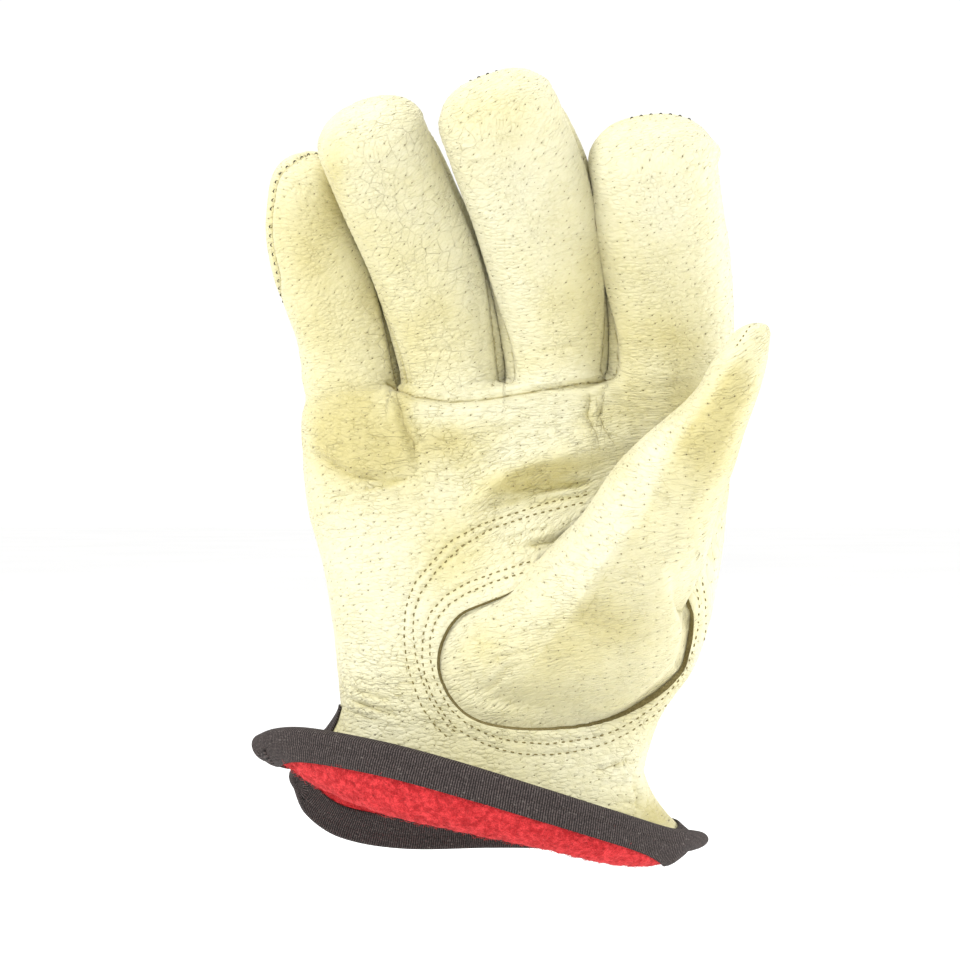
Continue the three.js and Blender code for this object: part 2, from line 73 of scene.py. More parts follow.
bpy.context.scene.view_settings.view_transform = "Standard"
world = bpy.data.worlds.new("room")
bpy.context.scene.world = world
world.use_nodes = True
world.node_tree.nodes["Background"].inputs["Color"].default_value = (1, 1, 1, 1)
world.node_tree.nodes["Background"].inputs["Strength"].default_value = ROOM_BRIGHTNESS


def soft_lamp(name, place, aim, size, power):
    """A square soft lamp at a place, turned towards the point that it lights."""
    lamp = bpy.data.objects.new(name, bpy.data.lights.new(name, "AREA"))
    bpy.context.scene.collection.objects.link(lamp)
    lamp.data.size = size
    lamp.data.energy = power
    lamp.location = place
    lamp.rotation_euler = (Vector(aim) - Vector(place)).to_track_quat("-Z", "Y").to_euler()


soft_lamp("lamp_key", (-0.75, -0.65, 1.0), (0, 0, 0.1), 0.3, 13.0)
soft_lamp("lamp_front", (0.30, -1.2, -0.25), (0, 0, 0.05), 0.7, 11.0)
soft_lamp("lamp_left", (-0.95, 0.10, 0.25), (0, 0, 0.1), 0.7, 1.5)
soft_lamp("lamp_right", (0.95, 0.0, 0.10), (0, 0, 0.1), 0.7, 9.0)
soft_lamp("lamp_above", (0.05, 0.1, 1.15), (0, 0, 0.1), 0.6, 5.0)

floor_mesh = bpy.data.meshes.new("floor")
reach = FLOOR_REACH * MM
floor_corners = ((-reach, -reach), (reach, -reach), (reach, reach), (-reach, reach))
floor_mesh.from_pydata([(x, y, FLOOR_LEVEL * MM) for x, y in floor_corners], [], [(0, 1, 2, 3)])
floor = bpy.data.objects.new("floor", floor_mesh)
bpy.context.scene.collection.objects.link(floor)


class Shade:
    """A value, colour or vector in a material. Sums and products of values add their Math nodes."""

    def __init__(self, tree, socket=None):
        self.tree = tree
        self.socket = socket

    def node(self, kind, settings=None, inputs=None, output=0):
        """A node of any type: its settings are made first, then the values or links of its sockets."""
        made = self.tree.nodes.new(kind)
        for name, value in (settings or {}).items():
            setattr(made, name, value)
        for name, value in (inputs or {}).items():
            if isinstance(value, Shade):
                self.tree.links.new(value.socket, made.inputs[name])
            else:
                made.inputs[name].default_value = value
        return Shade(self.tree, made.outputs[output])

    def math(self, operation, *values):
        return self.node("ShaderNodeMath", {"operation": operation}, dict(enumerate(values)))

    def __add__(self, other):
        return self.math("ADD", self, other)

    def __sub__(self, other):
        return self.math("SUBTRACT", self, other)

    def __rsub__(self, other):
        return self.math("SUBTRACT", other, self)

    def __mul__(self, other):
        return self.math("MULTIPLY", self, other)

    __radd__ = __add__
    __rmul__ = __mul__

    def ramp(self, low, high):
        """0 where this is under low, 1 where it is over high, and smooth between."""
        return self.node("ShaderNodeMapRange", {"interpolation_type": "SMOOTHSTEP"},
                         {"Value": self, "From Min": low, "From Max": high})

    def line(self, half_width, reach):
        """1 along the line where this is 0, out to a half width, and 0 beyond its reach."""
        return 1 - self.math("ABSOLUTE", self).ramp(half_width, reach)

    def wave(self, pitch):
        """A sine of this, from -1 to 1, that repeats at a pitch."""
        return self.math("SINE", self * (2 * math.pi / pitch))

    def blend(self, first, second):
        """The first colour where this is 0 and the second where it is 1."""
        inputs = {"Factor": self, 6: first, 7: second}
        return self.node("ShaderNodeMix", {"data_type": "RGBA"}, inputs, output=2)

    def tint(self, colour, strength):
        """This colour, multiplied by another where the strength is 1."""
        inputs = {"Factor": strength, 6: self, 7: colour}
        return self.node("ShaderNodeMix", {"data_type": "RGBA", "blend_type": "MULTIPLY"}, inputs, output=2)

    def vector(self, across, along, deep=0.0):
        return self.node("ShaderNodeCombineXYZ", None, {0: across, 1: along, 2: deep})

    def vector_math(self, operation, inputs=None):
        """This vector, changed by another vector or by a scale."""
        return self.node("ShaderNodeVectorMath", {"operation": operation}, {0: self, **(inputs or {})})

    def parts(self):
        """The three values of a vector."""
        split = self.node("ShaderNodeSeparateXYZ", None, {0: self}).socket.node
        return [Shade(self.tree, output) for output in split.outputs]

    def noise(self, scale, detail=2.0, roughness=0.5, output=0):
        """Soft random variation from 0 to 1 over places."""
        inputs = {"Vector": self, "Scale": scale, "Detail": detail, "Roughness": roughness}
        return self.node("ShaderNodeTexNoise", None, inputs, output)

    def cells(self, feature, randomness, scale=1.0, output=0):
        """Cells scattered over a flat place: how far the nearest one's middle or edge is, and the like."""
        return self.node("ShaderNodeTexVoronoi", {"feature": feature, "voronoi_dimensions": "2D"},
                         {"Vector": self, "Scale": scale, "Randomness": randomness}, output)

    def attribute(self, name):
        """What a piece's points carry under a name."""
        return self.node("ShaderNodeAttribute", {"attribute_name": name}, output=1)

    def place(self):
        """The place on the glove in millimetres."""
        return self.node("ShaderNodeTexCoord", output=3).vector_math("SCALE", {"Scale": 1 / MM})


def new_finish(name):
    """An empty material, and the start of its nodes."""
    material = bpy.data.materials.new(name)
    material.use_nodes = True
    return material, Shade(material.node_tree)


def dress(material, sockets, height=None):
    """Set the sockets of a finish to values or links. Its height, in millimetres, goes through a bump."""
    shader = material.node_tree.nodes["Principled BSDF"]
    if height is not None:
        bump = height.node("ShaderNodeBump", None, {"Strength": 1.0, "Distance": MM, "Height": height})
        sockets = {**sockets, "Normal": bump}
    for name, value in sockets.items():
        if isinstance(value, Shade):
            material.node_tree.links.new(value.socket, shader.inputs[name])
        else:
            shader.inputs[name].default_value = value


def rgb(red, green, blue):
    return (red, green, blue, 1.0)


floor_paper, start = new_finish("floor_paper")
floor_cloud = start.node("ShaderNodeTexCoord", output=3).noise(3.0).ramp(0.2, 0.8)
floor_tone = floor_cloud.blend(rgb(0.93, 0.93, 0.925), rgb(0.96, 0.96, 0.955))
dress(floor_paper, {"Base Color": floor_tone, "Roughness": 0.9})
floor_mesh.materials.append(floor_paper)

# The glove's form. The leather of the real glove is drawn over a palm with four fingers that curl towards the
# viewer, so one smooth skin of that form is made first, and every panel is cut from it. Each row of a finger
# is its height, its middle's x and y, and its half width and half depth.
VOXEL = 1.04
FINGER_SQUARENESS = 2.3
BODY_SQUARENESS = 2.5
TIP_SQUARENESS = 2.4
FINGER_SLIM = 1.6
CROTCH = (124, 132)
ROW_STEP = 1.5
TANGENT_STEP = 4

LITTLE = np.array([
    (110, -37.6, 1.8, 13.2, 12.0), (127, -39.3, 1.0, 15.1, 13.5), (146, -42.2, -1.0, 14.7, 13.5),
    (166, -49.2, -6.0, 14.8, 13.2), (177, -51.8, -9.5, 14.0, 12.8), (187.5, -52.4, -14.5, 12.0, 11.5),
    (197.5, -50.6, -20.0, 0, 0)])
RING = np.array([
    (110, -7.2, -1.5, 14.5, 13.0), (127, -8.3, -3.5, 15.1, 14.5), (147, -11.5, -8.0, 16.1, 14.5),
    (168.5, -17.6, -16.5, 17.2, 14.5), (184.5, -24.6, -25.5, 17.2, 14.2), (200, -31.8, -36.0, 16.7, 13.1),
    (209.5, -35.2, -42.0, 0, 0)])
MIDDLE = np.array([
    (110, 23.2, -4.0, 14.0, 13.5), (128, 23.8, -6.5, 13.7, 15.0), (147.5, 23.1, -10.8, 15.6, 15.0),
    (169, 19.2, -20.0, 17.9, 15.0), (187, 14.2, -30.5, 19.3, 14.6), (205.5, 6.0, -43.0, 18.2, 13.4),
    (216.5, 1.2, -49.0, 0, 0)])
INDEX = np.array([
    (110, 57.2, -5.5, 16.6, 13.8), (127, 58.8, -8.5, 18.3, 15.5), (145, 59.0, -12.4, 18.4, 15.5),
    (163, 56.8, -18.5, 19.4, 15.5), (178.5, 53.6, -26.5, 19.5, 15.1), (193.5, 51.3, -35.5, 18.9, 14.0),
    (205.5, 48.4, -42.0, 0, 0)])
FINGERS = [LITTLE, RING, MIDDLE, INDEX]

# Palm and wrist: each row is its left end's height, its two ends'
# x, its right end's height, and its middle's y and half depth.
BODY = np.array([
    (29.5, -42.8, 50.5, 10.9, 0, 27), (38.8, -43.6, 55.6, 26.4, 0, 27), (54.2, -45.0, 67.2, 44.3, 0, 26),
    (72.8, -48.2, 72.5, 63.6, 0, 25), (87.7, -52.4, 75.2, 80.6, 0, 24), (102.3, -54.3, 77.0, 97.7, -1, 21.5),
    (115.0, -54.4, 77.2, 114.7, -3.5, 18.5), (121.5, -53.8, 75.6, 125.5, -5, 15.8),
    (125.5, -49.8, 71.0, 129.5, -6, 12.0)])


def along(rows, at):
    """The rows' values at keys between theirs, on a smooth curve. The key is the first column."""
    key, last = rows[:, 0], len(rows) - 1
    before, after = np.maximum(np.arange(last + 1) - 1, 0), np.minimum(np.arange(last + 1) + 1, last)
    slope = (rows[after] - rows[before]) / (key[after] - key[before])[:, None]
    k = np.clip(np.searchsorted(key, at, "right") - 1, 0, last - 1)
    span = (key[k + 1] - key[k])[:, None]
    t = np.clip((np.asarray(at) - key[k])[:, None] / span, 0, 1)
    return (rows[k] * (1 + 2 * t) * (1 - t) ** 2 + slope[k] * span * t * (1 - t) ** 2
            + rows[k + 1] * t * t * (3 - 2 * t) - slope[k + 1] * span * t * t * (1 - t))


def smoothstep(value, low, high):
    t = np.clip((value - low) / (high - low), 0, 1)
    return t * t * (3 - 2 * t)


def unit(vectors):
    return vectors / np.maximum(np.linalg.norm(vectors, axis=-1, keepdims=True), 1e-9)


def signed_power(value, exponent):
    return np.sign(value) * np.abs(value) ** exponent


def hump(value, middle, spread):
    """1 where a value is at its middle, falling softly to 0 on both sides."""
    return np.exp(-((value - middle) / spread) ** 2)


def window(value, rise, fall):
    """0 below the first two bounds, 1 between, and 0 above the last two."""
    return smoothstep(value, *rise) * (1 - smoothstep(value, *fall))


def run_along(line):
    """The length along a line of points, or along many side by side, from the first point to each."""
    steps = np.linalg.norm(np.diff(line, axis=0), axis=-1)
    return np.concatenate([np.zeros_like(steps[:1]), np.cumsum(steps, 0)])


def at_stops(stops, run, values):
    """Values along a line at stops between its points."""
    return np.stack([np.interp(stops, run, column) for column in values.T], 1)


def steps_up(low, high):
    """Heights from low to high in even steps."""
    heights = np.arange(low, high + ROW_STEP / 2, ROW_STEP)
    heights[-1] = high
    return heights


def oval_rings(centres, across, deep, wide, thick, squareness, sides):
    """Rings of points round centres, squarer than an ellipse, from the way across to the way deep."""
    angle = 2 * np.pi * np.arange(sides) / sides
    c = signed_power(np.cos(angle), 2 / squareness)[None, :, None]
    s = signed_power(np.sin(angle), 2 / squareness)[None, :, None]
    to_side = across[:, None] * wide[:, None, None] * c
    return centres[:, None] + to_side + deep[:, None] * thick[:, None, None] * s


def bent_middle(rows, heights):
    """The middles of a bent form's sections at heights, and the way its middle line runs there."""
    ahead = along(rows[:, :3], np.minimum(heights + TANGENT_STEP, rows[-1, 0]))
    behind = along(rows[:, :3], np.maximum(heights - TANGENT_STEP, rows[0, 0]))
    return along(rows[:, :3], heights)[:, [1, 2, 0]], unit((ahead - behind)[:, [1, 2, 0]])


def finger_sections(rows, heights):
    """The middle, the two axes and the half sizes of a finger's sections at heights of its middle."""
    centres, way = bent_middle(rows, heights)
    sizes = along(rows[:-1][:, [0, 3, 4]], np.minimum(heights, rows[-2, 0]))
    across = unit(np.array([1.0, 0, 0]) - way * way[:, :1])
    return centres, across, np.cross(way, across), sizes[:, 1], sizes[:, 2]


def dome_rings(centre, tip, across, deep, wide, thick, squareness, sides, steps=12):
    """Rings that close a section off in a dome towards its tip."""
    rise = np.sin(np.pi / 2 * np.arange(1, steps + 1) / (steps + 0.4))
    size = (1 - rise ** TIP_SQUARENESS) ** (1 / TIP_SQUARENESS)
    centres = centre + (tip - centre) * rise[:, None]
    same = np.ones((steps, 1))
    return oval_rings(centres, across * same, deep * same, wide * size, thick * size, squareness, sides)


def tube_mesh(rings, first, last):
    """A closed mesh through rings, with a point at each end."""
    count, sides = rings.shape[:2]
    points = np.concatenate([[first], rings.reshape(-1, 3), [last]])
    ring, side = np.meshgrid(np.arange(count - 1), np.arange(sides), indexing="ij")
    here, there = 1 + ring * sides + side, 1 + ring * sides + (side + 1) % sides
    walls = np.stack([here, there, there + sides, here, there + sides, here + sides], -1).reshape(-1, 3)
    side = np.arange(sides)
    low = np.stack([0 * side, 1 + (side + 1) % sides, 1 + side], 1)
    top = 1 + (count - 1) * sides
    high = np.stack([0 * side + len(points) - 1, top + side, top + (side + 1) % sides], 1)
    return points, np.concatenate([walls, low, high])


def finger_form(rows, slim, sides=72):
    """A finger as a closed form, a little slim above the crotch so that neighbours stay apart."""
    heights = steps_up(rows[0, 0], rows[-2, 0])
    centres, across, deep, wide, thick = finger_sections(rows, heights)
    less = slim * smoothstep(heights, *CROTCH)
    rings = oval_rings(centres, across, deep, wide - less, thick - less, FINGER_SQUARENESS, sides)
    tip = rows[-1, [1, 2, 0]]
    tip = tip + unit(centres[-1] - tip) * slim
    cap = dome_rings(centres[-1], tip, across[-1], deep[-1], wide[-1] - slim, thick[-1] - slim,
                     FINGER_SQUARENESS, sides)
    return tube_mesh(np.concatenate([rings, cap]), centres[0], tip)


def body_sections(keys):
    """The middle, the way across and the half sizes of the palm's sections at heights of their left ends."""
    rows = along(BODY, keys)
    left, right = rows[:, [1, 4, 0]], rows[:, [2, 4, 3]]
    across = right - left
    return (left + right) / 2, unit(across), np.linalg.norm(across, axis=1) / 2, rows[:, 5]


# The lowest section is the wrist. The form runs on below it and is cut off clean there.
WRIST_DOWN = 9.0
ON_THE_CUT = 1e-4
wrist_section = body_sections(np.array([BODY[0, 0]]))
wrist_centre, wrist_across, wrist_half, wrist_deep = (value[0] for value in wrist_section)
wrist_up = np.cross(wrist_across, [0.0, 1, 0])


def body_form(sides=160):
    """The palm and the wrist as a closed form."""
    keys = steps_up(BODY[0, 0], BODY[-1, 0])
    centres, across, half, thick = body_sections(keys)
    deep = np.tile([0.0, 1, 0], (len(keys), 1))
    rings = oval_rings(centres, across, deep, half, thick, BODY_SQUARENESS, sides)
    below = rings[:1] - wrist_up * WRIST_DOWN
    rings = np.concatenate([below, rings])
    return tube_mesh(rings, below[0].mean(0), centres[-1])


def mesh_object(name, points, triangles):
    """A mesh object from points in millimetres."""
    mesh = bpy.data.meshes.new(name)
    mesh.vertices.add(len(points))
    mesh.vertices.foreach_set("co", (points * MM).astype(np.float32).ravel())
    mesh.loops.add(3 * len(triangles))
    mesh.loops.foreach_set("vertex_index", triangles.astype(np.int32).ravel())
    mesh.polygons.add(len(triangles))
    mesh.polygons.foreach_set("loop_start", np.arange(0, 3 * len(triangles), 3, dtype=np.int32))
    mesh.update(calc_edges=True)
    mesh.shade_smooth()
    made = bpy.data.objects.new(name, mesh)
    bpy.context.scene.collection.objects.link(made)
    return made


def joined_skin(forms, voxel):
    """One even skin over several closed forms."""
    count, all_points, all_triangles = 0, [], []
    for points, triangles in forms:
        all_points.append(points)
        all_triangles.append(triangles + count)
        count += len(points)
    rough = mesh_object("rough_form", np.concatenate(all_points), np.concatenate(all_triangles))
    remesh = rough.modifiers.new("skin", "REMESH")
    remesh.mode = "VOXEL"
    remesh.voxel_size = voxel * MM
    even = rough.evaluated_get(bpy.context.evaluated_depsgraph_get()).to_mesh()
    points = np.zeros(len(even.vertices) * 3, np.float32)
    even.vertices.foreach_get("co", points)
    even.calc_loop_triangles()
    triangles = np.zeros(len(even.loop_triangles) * 3, np.int32)
    even.loop_triangles.foreach_get("vertices", triangles)
    bpy.data.objects.remove(rough)
    return points.reshape(-1, 3).astype(float) / MM, triangles.reshape(-1, 3)


def point_normals(points, triangles):
    """The way out of the skin at each point."""
    a, b, c = (points[triangles[:, k]] for k in range(3))
    facing = np.cross(b - a, c - a)
    total = np.zeros_like(points)
    for k in range(3):
        for axis in range(3):
            total[:, axis] += np.bincount(triangles[:, k], facing[:, axis], len(points))
    return unit(total)


def edge_pairs(triangles):
    """Every edge of the triangles once."""
    pairs = np.concatenate([triangles[:, [0, 1]], triangles[:, [1, 2]], triangles[:, [2, 0]]])
    return np.unique(np.sort(pairs, axis=1), axis=0)


def smoothed(values, pairs, strength, rounds):
    """Values drawn towards their neighbours' mean, by a strength for each point."""
    values = values.copy()
    count = np.bincount(pairs.ravel(), minlength=len(values)).astype(float)
    flat = values.ndim == 1
    for _ in range(rounds):
        columns = [values] if flat else [values[:, k] for k in range(values.shape[1])]
        means = []
        for column in columns:
            total = np.bincount(pairs[:, 0], column[pairs[:, 1]], len(values))
            total += np.bincount(pairs[:, 1], column[pairs[:, 0]], len(values))
            means.append(total / np.maximum(count, 1))
        mean = means[0] if flat else np.stack(means, 1)
        values += (mean - values) * (strength if flat else strength[:, None])
    return values


def cut_away(points, triangles, field, carried):
    """The part of a mesh where the field is over 0, cut cleanly across its triangles."""
    inside = field > 0
    kinds = inside[triangles].sum(1)
    one, two = triangles[kinds == 1], triangles[kinds == 2]
    one_turn = np.argmax(inside[one], 1)
    two_turn = np.argmin(inside[two], 1)
    one = one[np.arange(len(one))[:, None], (one_turn[:, None] + np.arange(3)) % 3]
    two = two[np.arange(len(two))[:, None], (two_turn[:, None] + np.arange(3)) % 3]
    edges = np.concatenate([one[:, [0, 1]], one[:, [0, 2]], two[:, [0, 1]], two[:, [0, 2]]])
    unique, place = np.unique(np.sort(edges, axis=1), axis=0, return_inverse=True)
    place = place.reshape(-1) + len(points)
    low, high = field[unique[:, 0]], field[unique[:, 1]]
    t = np.clip(low / np.where(low == high, 1, low - high), 0.001, 0.999)[:, None]

    def with_cuts(values):
        flat = values.ndim == 1
        wide = values[:, None] if flat else values
        wide = np.concatenate([wide, wide[unique[:, 0]] * (1 - t) + wide[unique[:, 1]] * t])
        return wide[:, 0] if flat else wide

    n1, n2 = len(one), len(two)
    ab1, ac1, ab2, ac2 = np.split(place, [n1, 2 * n1, 2 * n1 + n2])
    kept = np.concatenate([
        triangles[kinds == 3],
        np.stack([one[:, 0], ab1, ac1], 1),
        np.stack([ab2, two[:, 1], two[:, 2]], 1),
        np.stack([ab2, two[:, 2], ac2], 1)])
    used, kept = np.unique(kept, return_inverse=True)
    kept = kept.reshape(-1, 3)
    return with_cuts(points)[used], kept, {name: with_cuts(v)[used] for name, v in carried.items()}


glove_forms = [body_form()] + [finger_form(rows, FINGER_SLIM) for rows in FINGERS]
glove_points, glove_triangles = joined_skin(glove_forms, VOXEL)
above_wrist = (glove_points - wrist_centre) @ wrist_up
glove_points, glove_triangles, _ = cut_away(glove_points, glove_triangles, above_wrist, {})

# The flared cuff. On the real glove the palm's and the back's leather run on below
# the wrist in one piece. They fall, flare and in front turn up to the rim, and are
# open from the rim to the wrist at the little finger's side.
CUFF_COLUMNS = 368
CUFF_ROWS = 46
CUFF_LEAN = 0.15
RIM_TUCK = 0.1
CURVE_STEPS = 60

# Each row is its part of a turn, from the slit through the front, the rim's place, how far the leather falls
# from the wrist and how far it hangs below the rim.
RIM = np.array([
    (0, -67.8, -7, 19.3, 12, 9), (0.06, -61.5, -17, 22.4, 17, 13), (0.14, -52.5, -27, 23.6, 24, 20),
    (0.24, -38.5, -36, 22.2, 28, 24), (0.36, -22.0, -42.5, 19.2, 29.5, 25.5),
    (0.5, -1.0, -46, 13.6, 28, 24.5), (0.64, 19.5, -45, 7.0, 26.5, 23), (0.78, 40.0, -37, -0.4, 25.5, 21.5),
    (0.9, 56.5, -23, -7.0, 21, 15.5), (0.96, 63.5, -13, -8.8, 16, 8), (1, 67.5, -3, -10.5, 13, 4),
    (1.08, 65.5, 10, -13.5, 12, -2), (1.25, 48.0, 26, -16.5, 13, -7), (1.5, 5.0, 36, -17.5, 14, -9),
    (1.7, -25.0, 34, -17.5, 14, -8), (1.85, -45.5, 28.5, -13.0, 11, -6), (1.94, -56.0, 22.5, -4.5, 8, -4),
    (2, -59.5, 17, 6.0, 6, -3)])


def wrist_point(turn):
    """The place on the wrist's outline at a part of a turn."""
    angle = np.pi * (turn + 1)
    c = signed_power(np.cos(angle), 2 / BODY_SQUARENESS)[:, None] * wrist_across * wrist_half
    s = signed_power(np.sin(angle), 2 / BODY_SQUARENESS)[:, None] * np.array([0.0, 1, 0]) * wrist_deep
    return wrist_centre + c + s


def wrist_turn(points):
    """The part of a turn round the wrist at which points lie, from 0 to 2."""
    u = (points - wrist_centre) @ wrist_across / wrist_half
    v = points[:, 1] / wrist_deep
    angle = np.arctan2(signed_power(v, BODY_SQUARENESS / 2), signed_power(u, BODY_SQUARENESS / 2))
    return (angle / np.pi - 1) % 2


def cuff_surface():
    """The cuff's points, rows down from the wrist and columns round it, and the length of each column."""
    turns = np.linspace(0, 2, CUFF_COLUMNS + 1)
    start = wrist_point(turns)
    edge = along(RIM, turns)
    end, drop, sag = edge[:, 1:4], edge[:, 4:5], edge[:, 5:6]
    down = np.array([0, 0, -1.0])
    outward = unit((end - start) * [1, 1, 0])
    second = start + down * drop + outward * drop * CUFF_LEAN
    third = end + down * sag - outward * drop * RIM_TUCK
    t = np.linspace(0, 1, CURVE_STEPS + 1)[:, None, None]
    fine = start * (1 - t) ** 3 + 3 * second * t * (1 - t) ** 2 + 3 * third * t * t * (1 - t) + end * t ** 3
    reached = run_along(fine)
    stops = np.linspace(0, reached[-1], CUFF_ROWS + 1)
    columns = [at_stops(stops[:, k], reached[:, k], fine[:, k]) for k in range(len(turns))]
    return turns, np.stack(columns, 1), reached[-1]


def grid_normals(grid):
    down = np.gradient(grid, axis=0)
    right = np.gradient(grid, axis=1)
    return unit(np.cross(down, right))


def grid_triangles(rows, columns, first=0):
    row, column = np.meshgrid(np.arange(rows - 1), np.arange(columns - 1), indexing="ij")
    a = first + row * columns + column
    b, c, d = a + columns, a + columns + 1, a + 1
    return np.stack([a, b, c, a, c, d], -1).reshape(-1, 3)


def zipped(first, first_at, second, second_at):
    """Triangles between two rows of points whose places along the rows differ."""
    i = j = 0
    made = []
    while i < len(first) - 1 or j < len(second) - 1:
        next_first = first_at[i + 1] if i + 1 < len(first) else np.inf
        next_second = second_at[j + 1] if j + 1 < len(second) else np.inf
        if next_first <= next_second:
            made.append((first[i], second[j], first[i + 1]))
            i += 1
        else:
            made.append((first[i], second[j], second[j + 1]))
            j += 1
    return np.array(made)


cuff_turns, cuff_grid, cuff_lengths = cuff_surface()
cuff_normals = grid_normals(cuff_grid)

on_wrist = np.nonzero(np.abs((glove_points - wrist_centre) @ wrist_up) < ON_THE_CUT)[0]
on_wrist = on_wrist[np.argsort(wrist_turn(glove_points[on_wrist]))]
wrist_at = wrist_turn(glove_points[on_wrist])
loop = np.concatenate([on_wrist, on_wrist[:1]])
flare_first = len(glove_points)
flare_rows = cuff_grid[1:]
flare_turns = np.broadcast_to(cuff_turns, flare_rows.shape[:2]).reshape(-1)
skin_points = np.concatenate([glove_points, flare_rows.reshape(-1, 3)])
skin_triangles = np.concatenate([
    glove_triangles,
    zipped(loop, np.concatenate([wrist_at, [2.0]]), flare_first + np.arange(len(cuff_turns)), cuff_turns),
    grid_triangles(len(flare_rows), len(cuff_turns), flare_first)])
is_flare = np.arange(len(skin_points)) >= flare_first
turn_of = np.concatenate([wrist_turn(glove_points), flare_turns])
pairs = edge_pairs(skin_triangles)

# Where the fingers run into the palm, and the cuff into the wrist, the leather turns in soft curves. The
# bounds are heights, parts of a turn and distances from the wrist.
CROTCH_SOFT = (98, 112), (130, 140)
SLIT_TURNS = (0.06, 1.94)
WRIST_SOFT = (4, 9)

from_wrist = np.abs((skin_points - wrist_centre) @ wrist_up)
slack = 0.5 * window(skin_points[:, 2], *CROTCH_SOFT)
skin_points = smoothed(skin_points, pairs, slack, 26)
slack = 0.5 * (1 - smoothstep(from_wrist, *WRIST_SOFT)) * (turn_of > SLIT_TURNS[0]) * (turn_of < SLIT_TURNS[1])
skin_points = smoothed(skin_points, pairs, slack, 12)
skin_points = smoothed(skin_points, pairs, np.where(is_flare, 0.0, 0.4), 3)

# The fingers were made slim so that neighbours stay apart. They are filled out again as far as there is room.
ROOM_KEPT = 0.15
ROOM_SEARCH = 8.0
FREE_ROOM = 9.0
ROOM_FROM = 119
ROOM_SIDEWAYS = 0.3
OFF_THE_SKIN = 0.05
FACING_BACK = -0.2

skin_normals = point_normals(skin_points, skin_triangles)
slim_tree = BVHTree.FromPolygons(skin_points.tolist(), skin_triangles.tolist())
room = np.full(len(skin_points), ROOM_SEARCH)
for k in np.nonzero((skin_points[:, 2] > ROOM_FROM) & (np.abs(skin_normals[:, 0]) > ROOM_SIDEWAYS))[0]:
    way = Vector(skin_normals[k])
    outside = Vector(skin_points[k]) + way * OFF_THE_SKIN
    found, normal, _, distance = slim_tree.ray_cast(outside, way, ROOM_SEARCH)
    if found is not None and normal.dot(way) < FACING_BACK:
        room[k] = distance
room = smoothed(np.clip(room / 2 - ROOM_KEPT, 0, None), pairs, np.full(len(room), 0.5), 4)
fuller = np.minimum(FINGER_SLIM * smoothstep(skin_points[:, 2], *CROTCH) * ~is_flare, room)
room = np.where(room < ROOM_SEARCH / 2 - ROOM_KEPT - 0.01, room - fuller, FREE_ROOM)
skin_points = skin_points + skin_normals * fuller[:, None]


def place_in(points, sections, lowest, highest):
    """Where points lie in a bent form: the height, the offsets across, deep and beyond, and the sizes."""
    height = np.clip(points[:, 2], lowest, highest)
    for _ in range(4):
        centres, across, deep, wide, thick = sections(height)
        off = points - centres
        way = np.cross(across, deep)
        height = np.clip(height + (off * way).sum(1) * way[:, 2], lowest, highest)
    return height, (off * across).sum(1), (off * deep).sum(1), (off * way).sum(1), wide, thick


def finger_place(points, rows):
    """Where points lie in a finger: the height, the offsets across and deep, the closeness and the width."""
    height, u, v, beyond, wide, thick = place_in(
        points, lambda heights: finger_sections(rows, heights), rows[0, 0], rows[-1, 0])
    close = np.sqrt((u / wide) ** 2 + (v / thick) ** 2 + (np.maximum(np.abs(beyond) - 1, 0) / thick) ** 2)
    return height, u, v, close, wide


# The seams' places. The front and the back meet along the fingers' sides and over their
# tips, a side strip lies between each two fingers, and a seam across the finger bases
# joins the fronts of the ring and the middle finger to the palm.

# Each border is a distance in millimetres that is over 0 on the panel's own side. Pairs are heights, or
# distances from a tip, between which a seam leaves the middle of the side.
FORK_HALF_WIDTH = 6.0
FORK_TAPER = 24.0
FORK_END_BELOW_TIP = 10.0
FORK_BACK = 3.6
FORK_BACK_FROM = (140, 165)
FORK_FOOT = 118
FORK_OFF_MIDDLE = 4
TIP_SEAM_BACK = (3.0, 8.0, 4.6, 5.5)
TIP_SEAM_FROM = (-14, -2)
TIP_SEAM_HALF_WIDTH = 8.0
LITTLE_SEAM_FORWARD = 9.0
LITTLE_SEAM_FROM = (148, 163)
SIDE_SEAM_FROM = (70.0, 110)
HALF_TURN_LONG = 140
BASE_SEAM = np.array([
    (-30, 130), (-26, 127.5), (-19.7, 124.6), (-9, 123.1), (1, 123.7), (10, 125.2), (24, 127.0), (32, 128.4),
    (41, 130.5), (46, 131.5)])

places = [finger_place(skin_points, rows) for rows in FINGERS]
heights_in, us, vs, closeness, wides = (np.stack(values, 1) for values in zip(*places))
nearest = np.argmin(closeness, 1)
finger_height, finger_u, finger_v, finger_wide = (
    values[np.arange(len(skin_points)), nearest] for values in (heights_in, us, vs, wides))
tips = np.array([rows[-1, 0] for rows in FINGERS])[nearest]


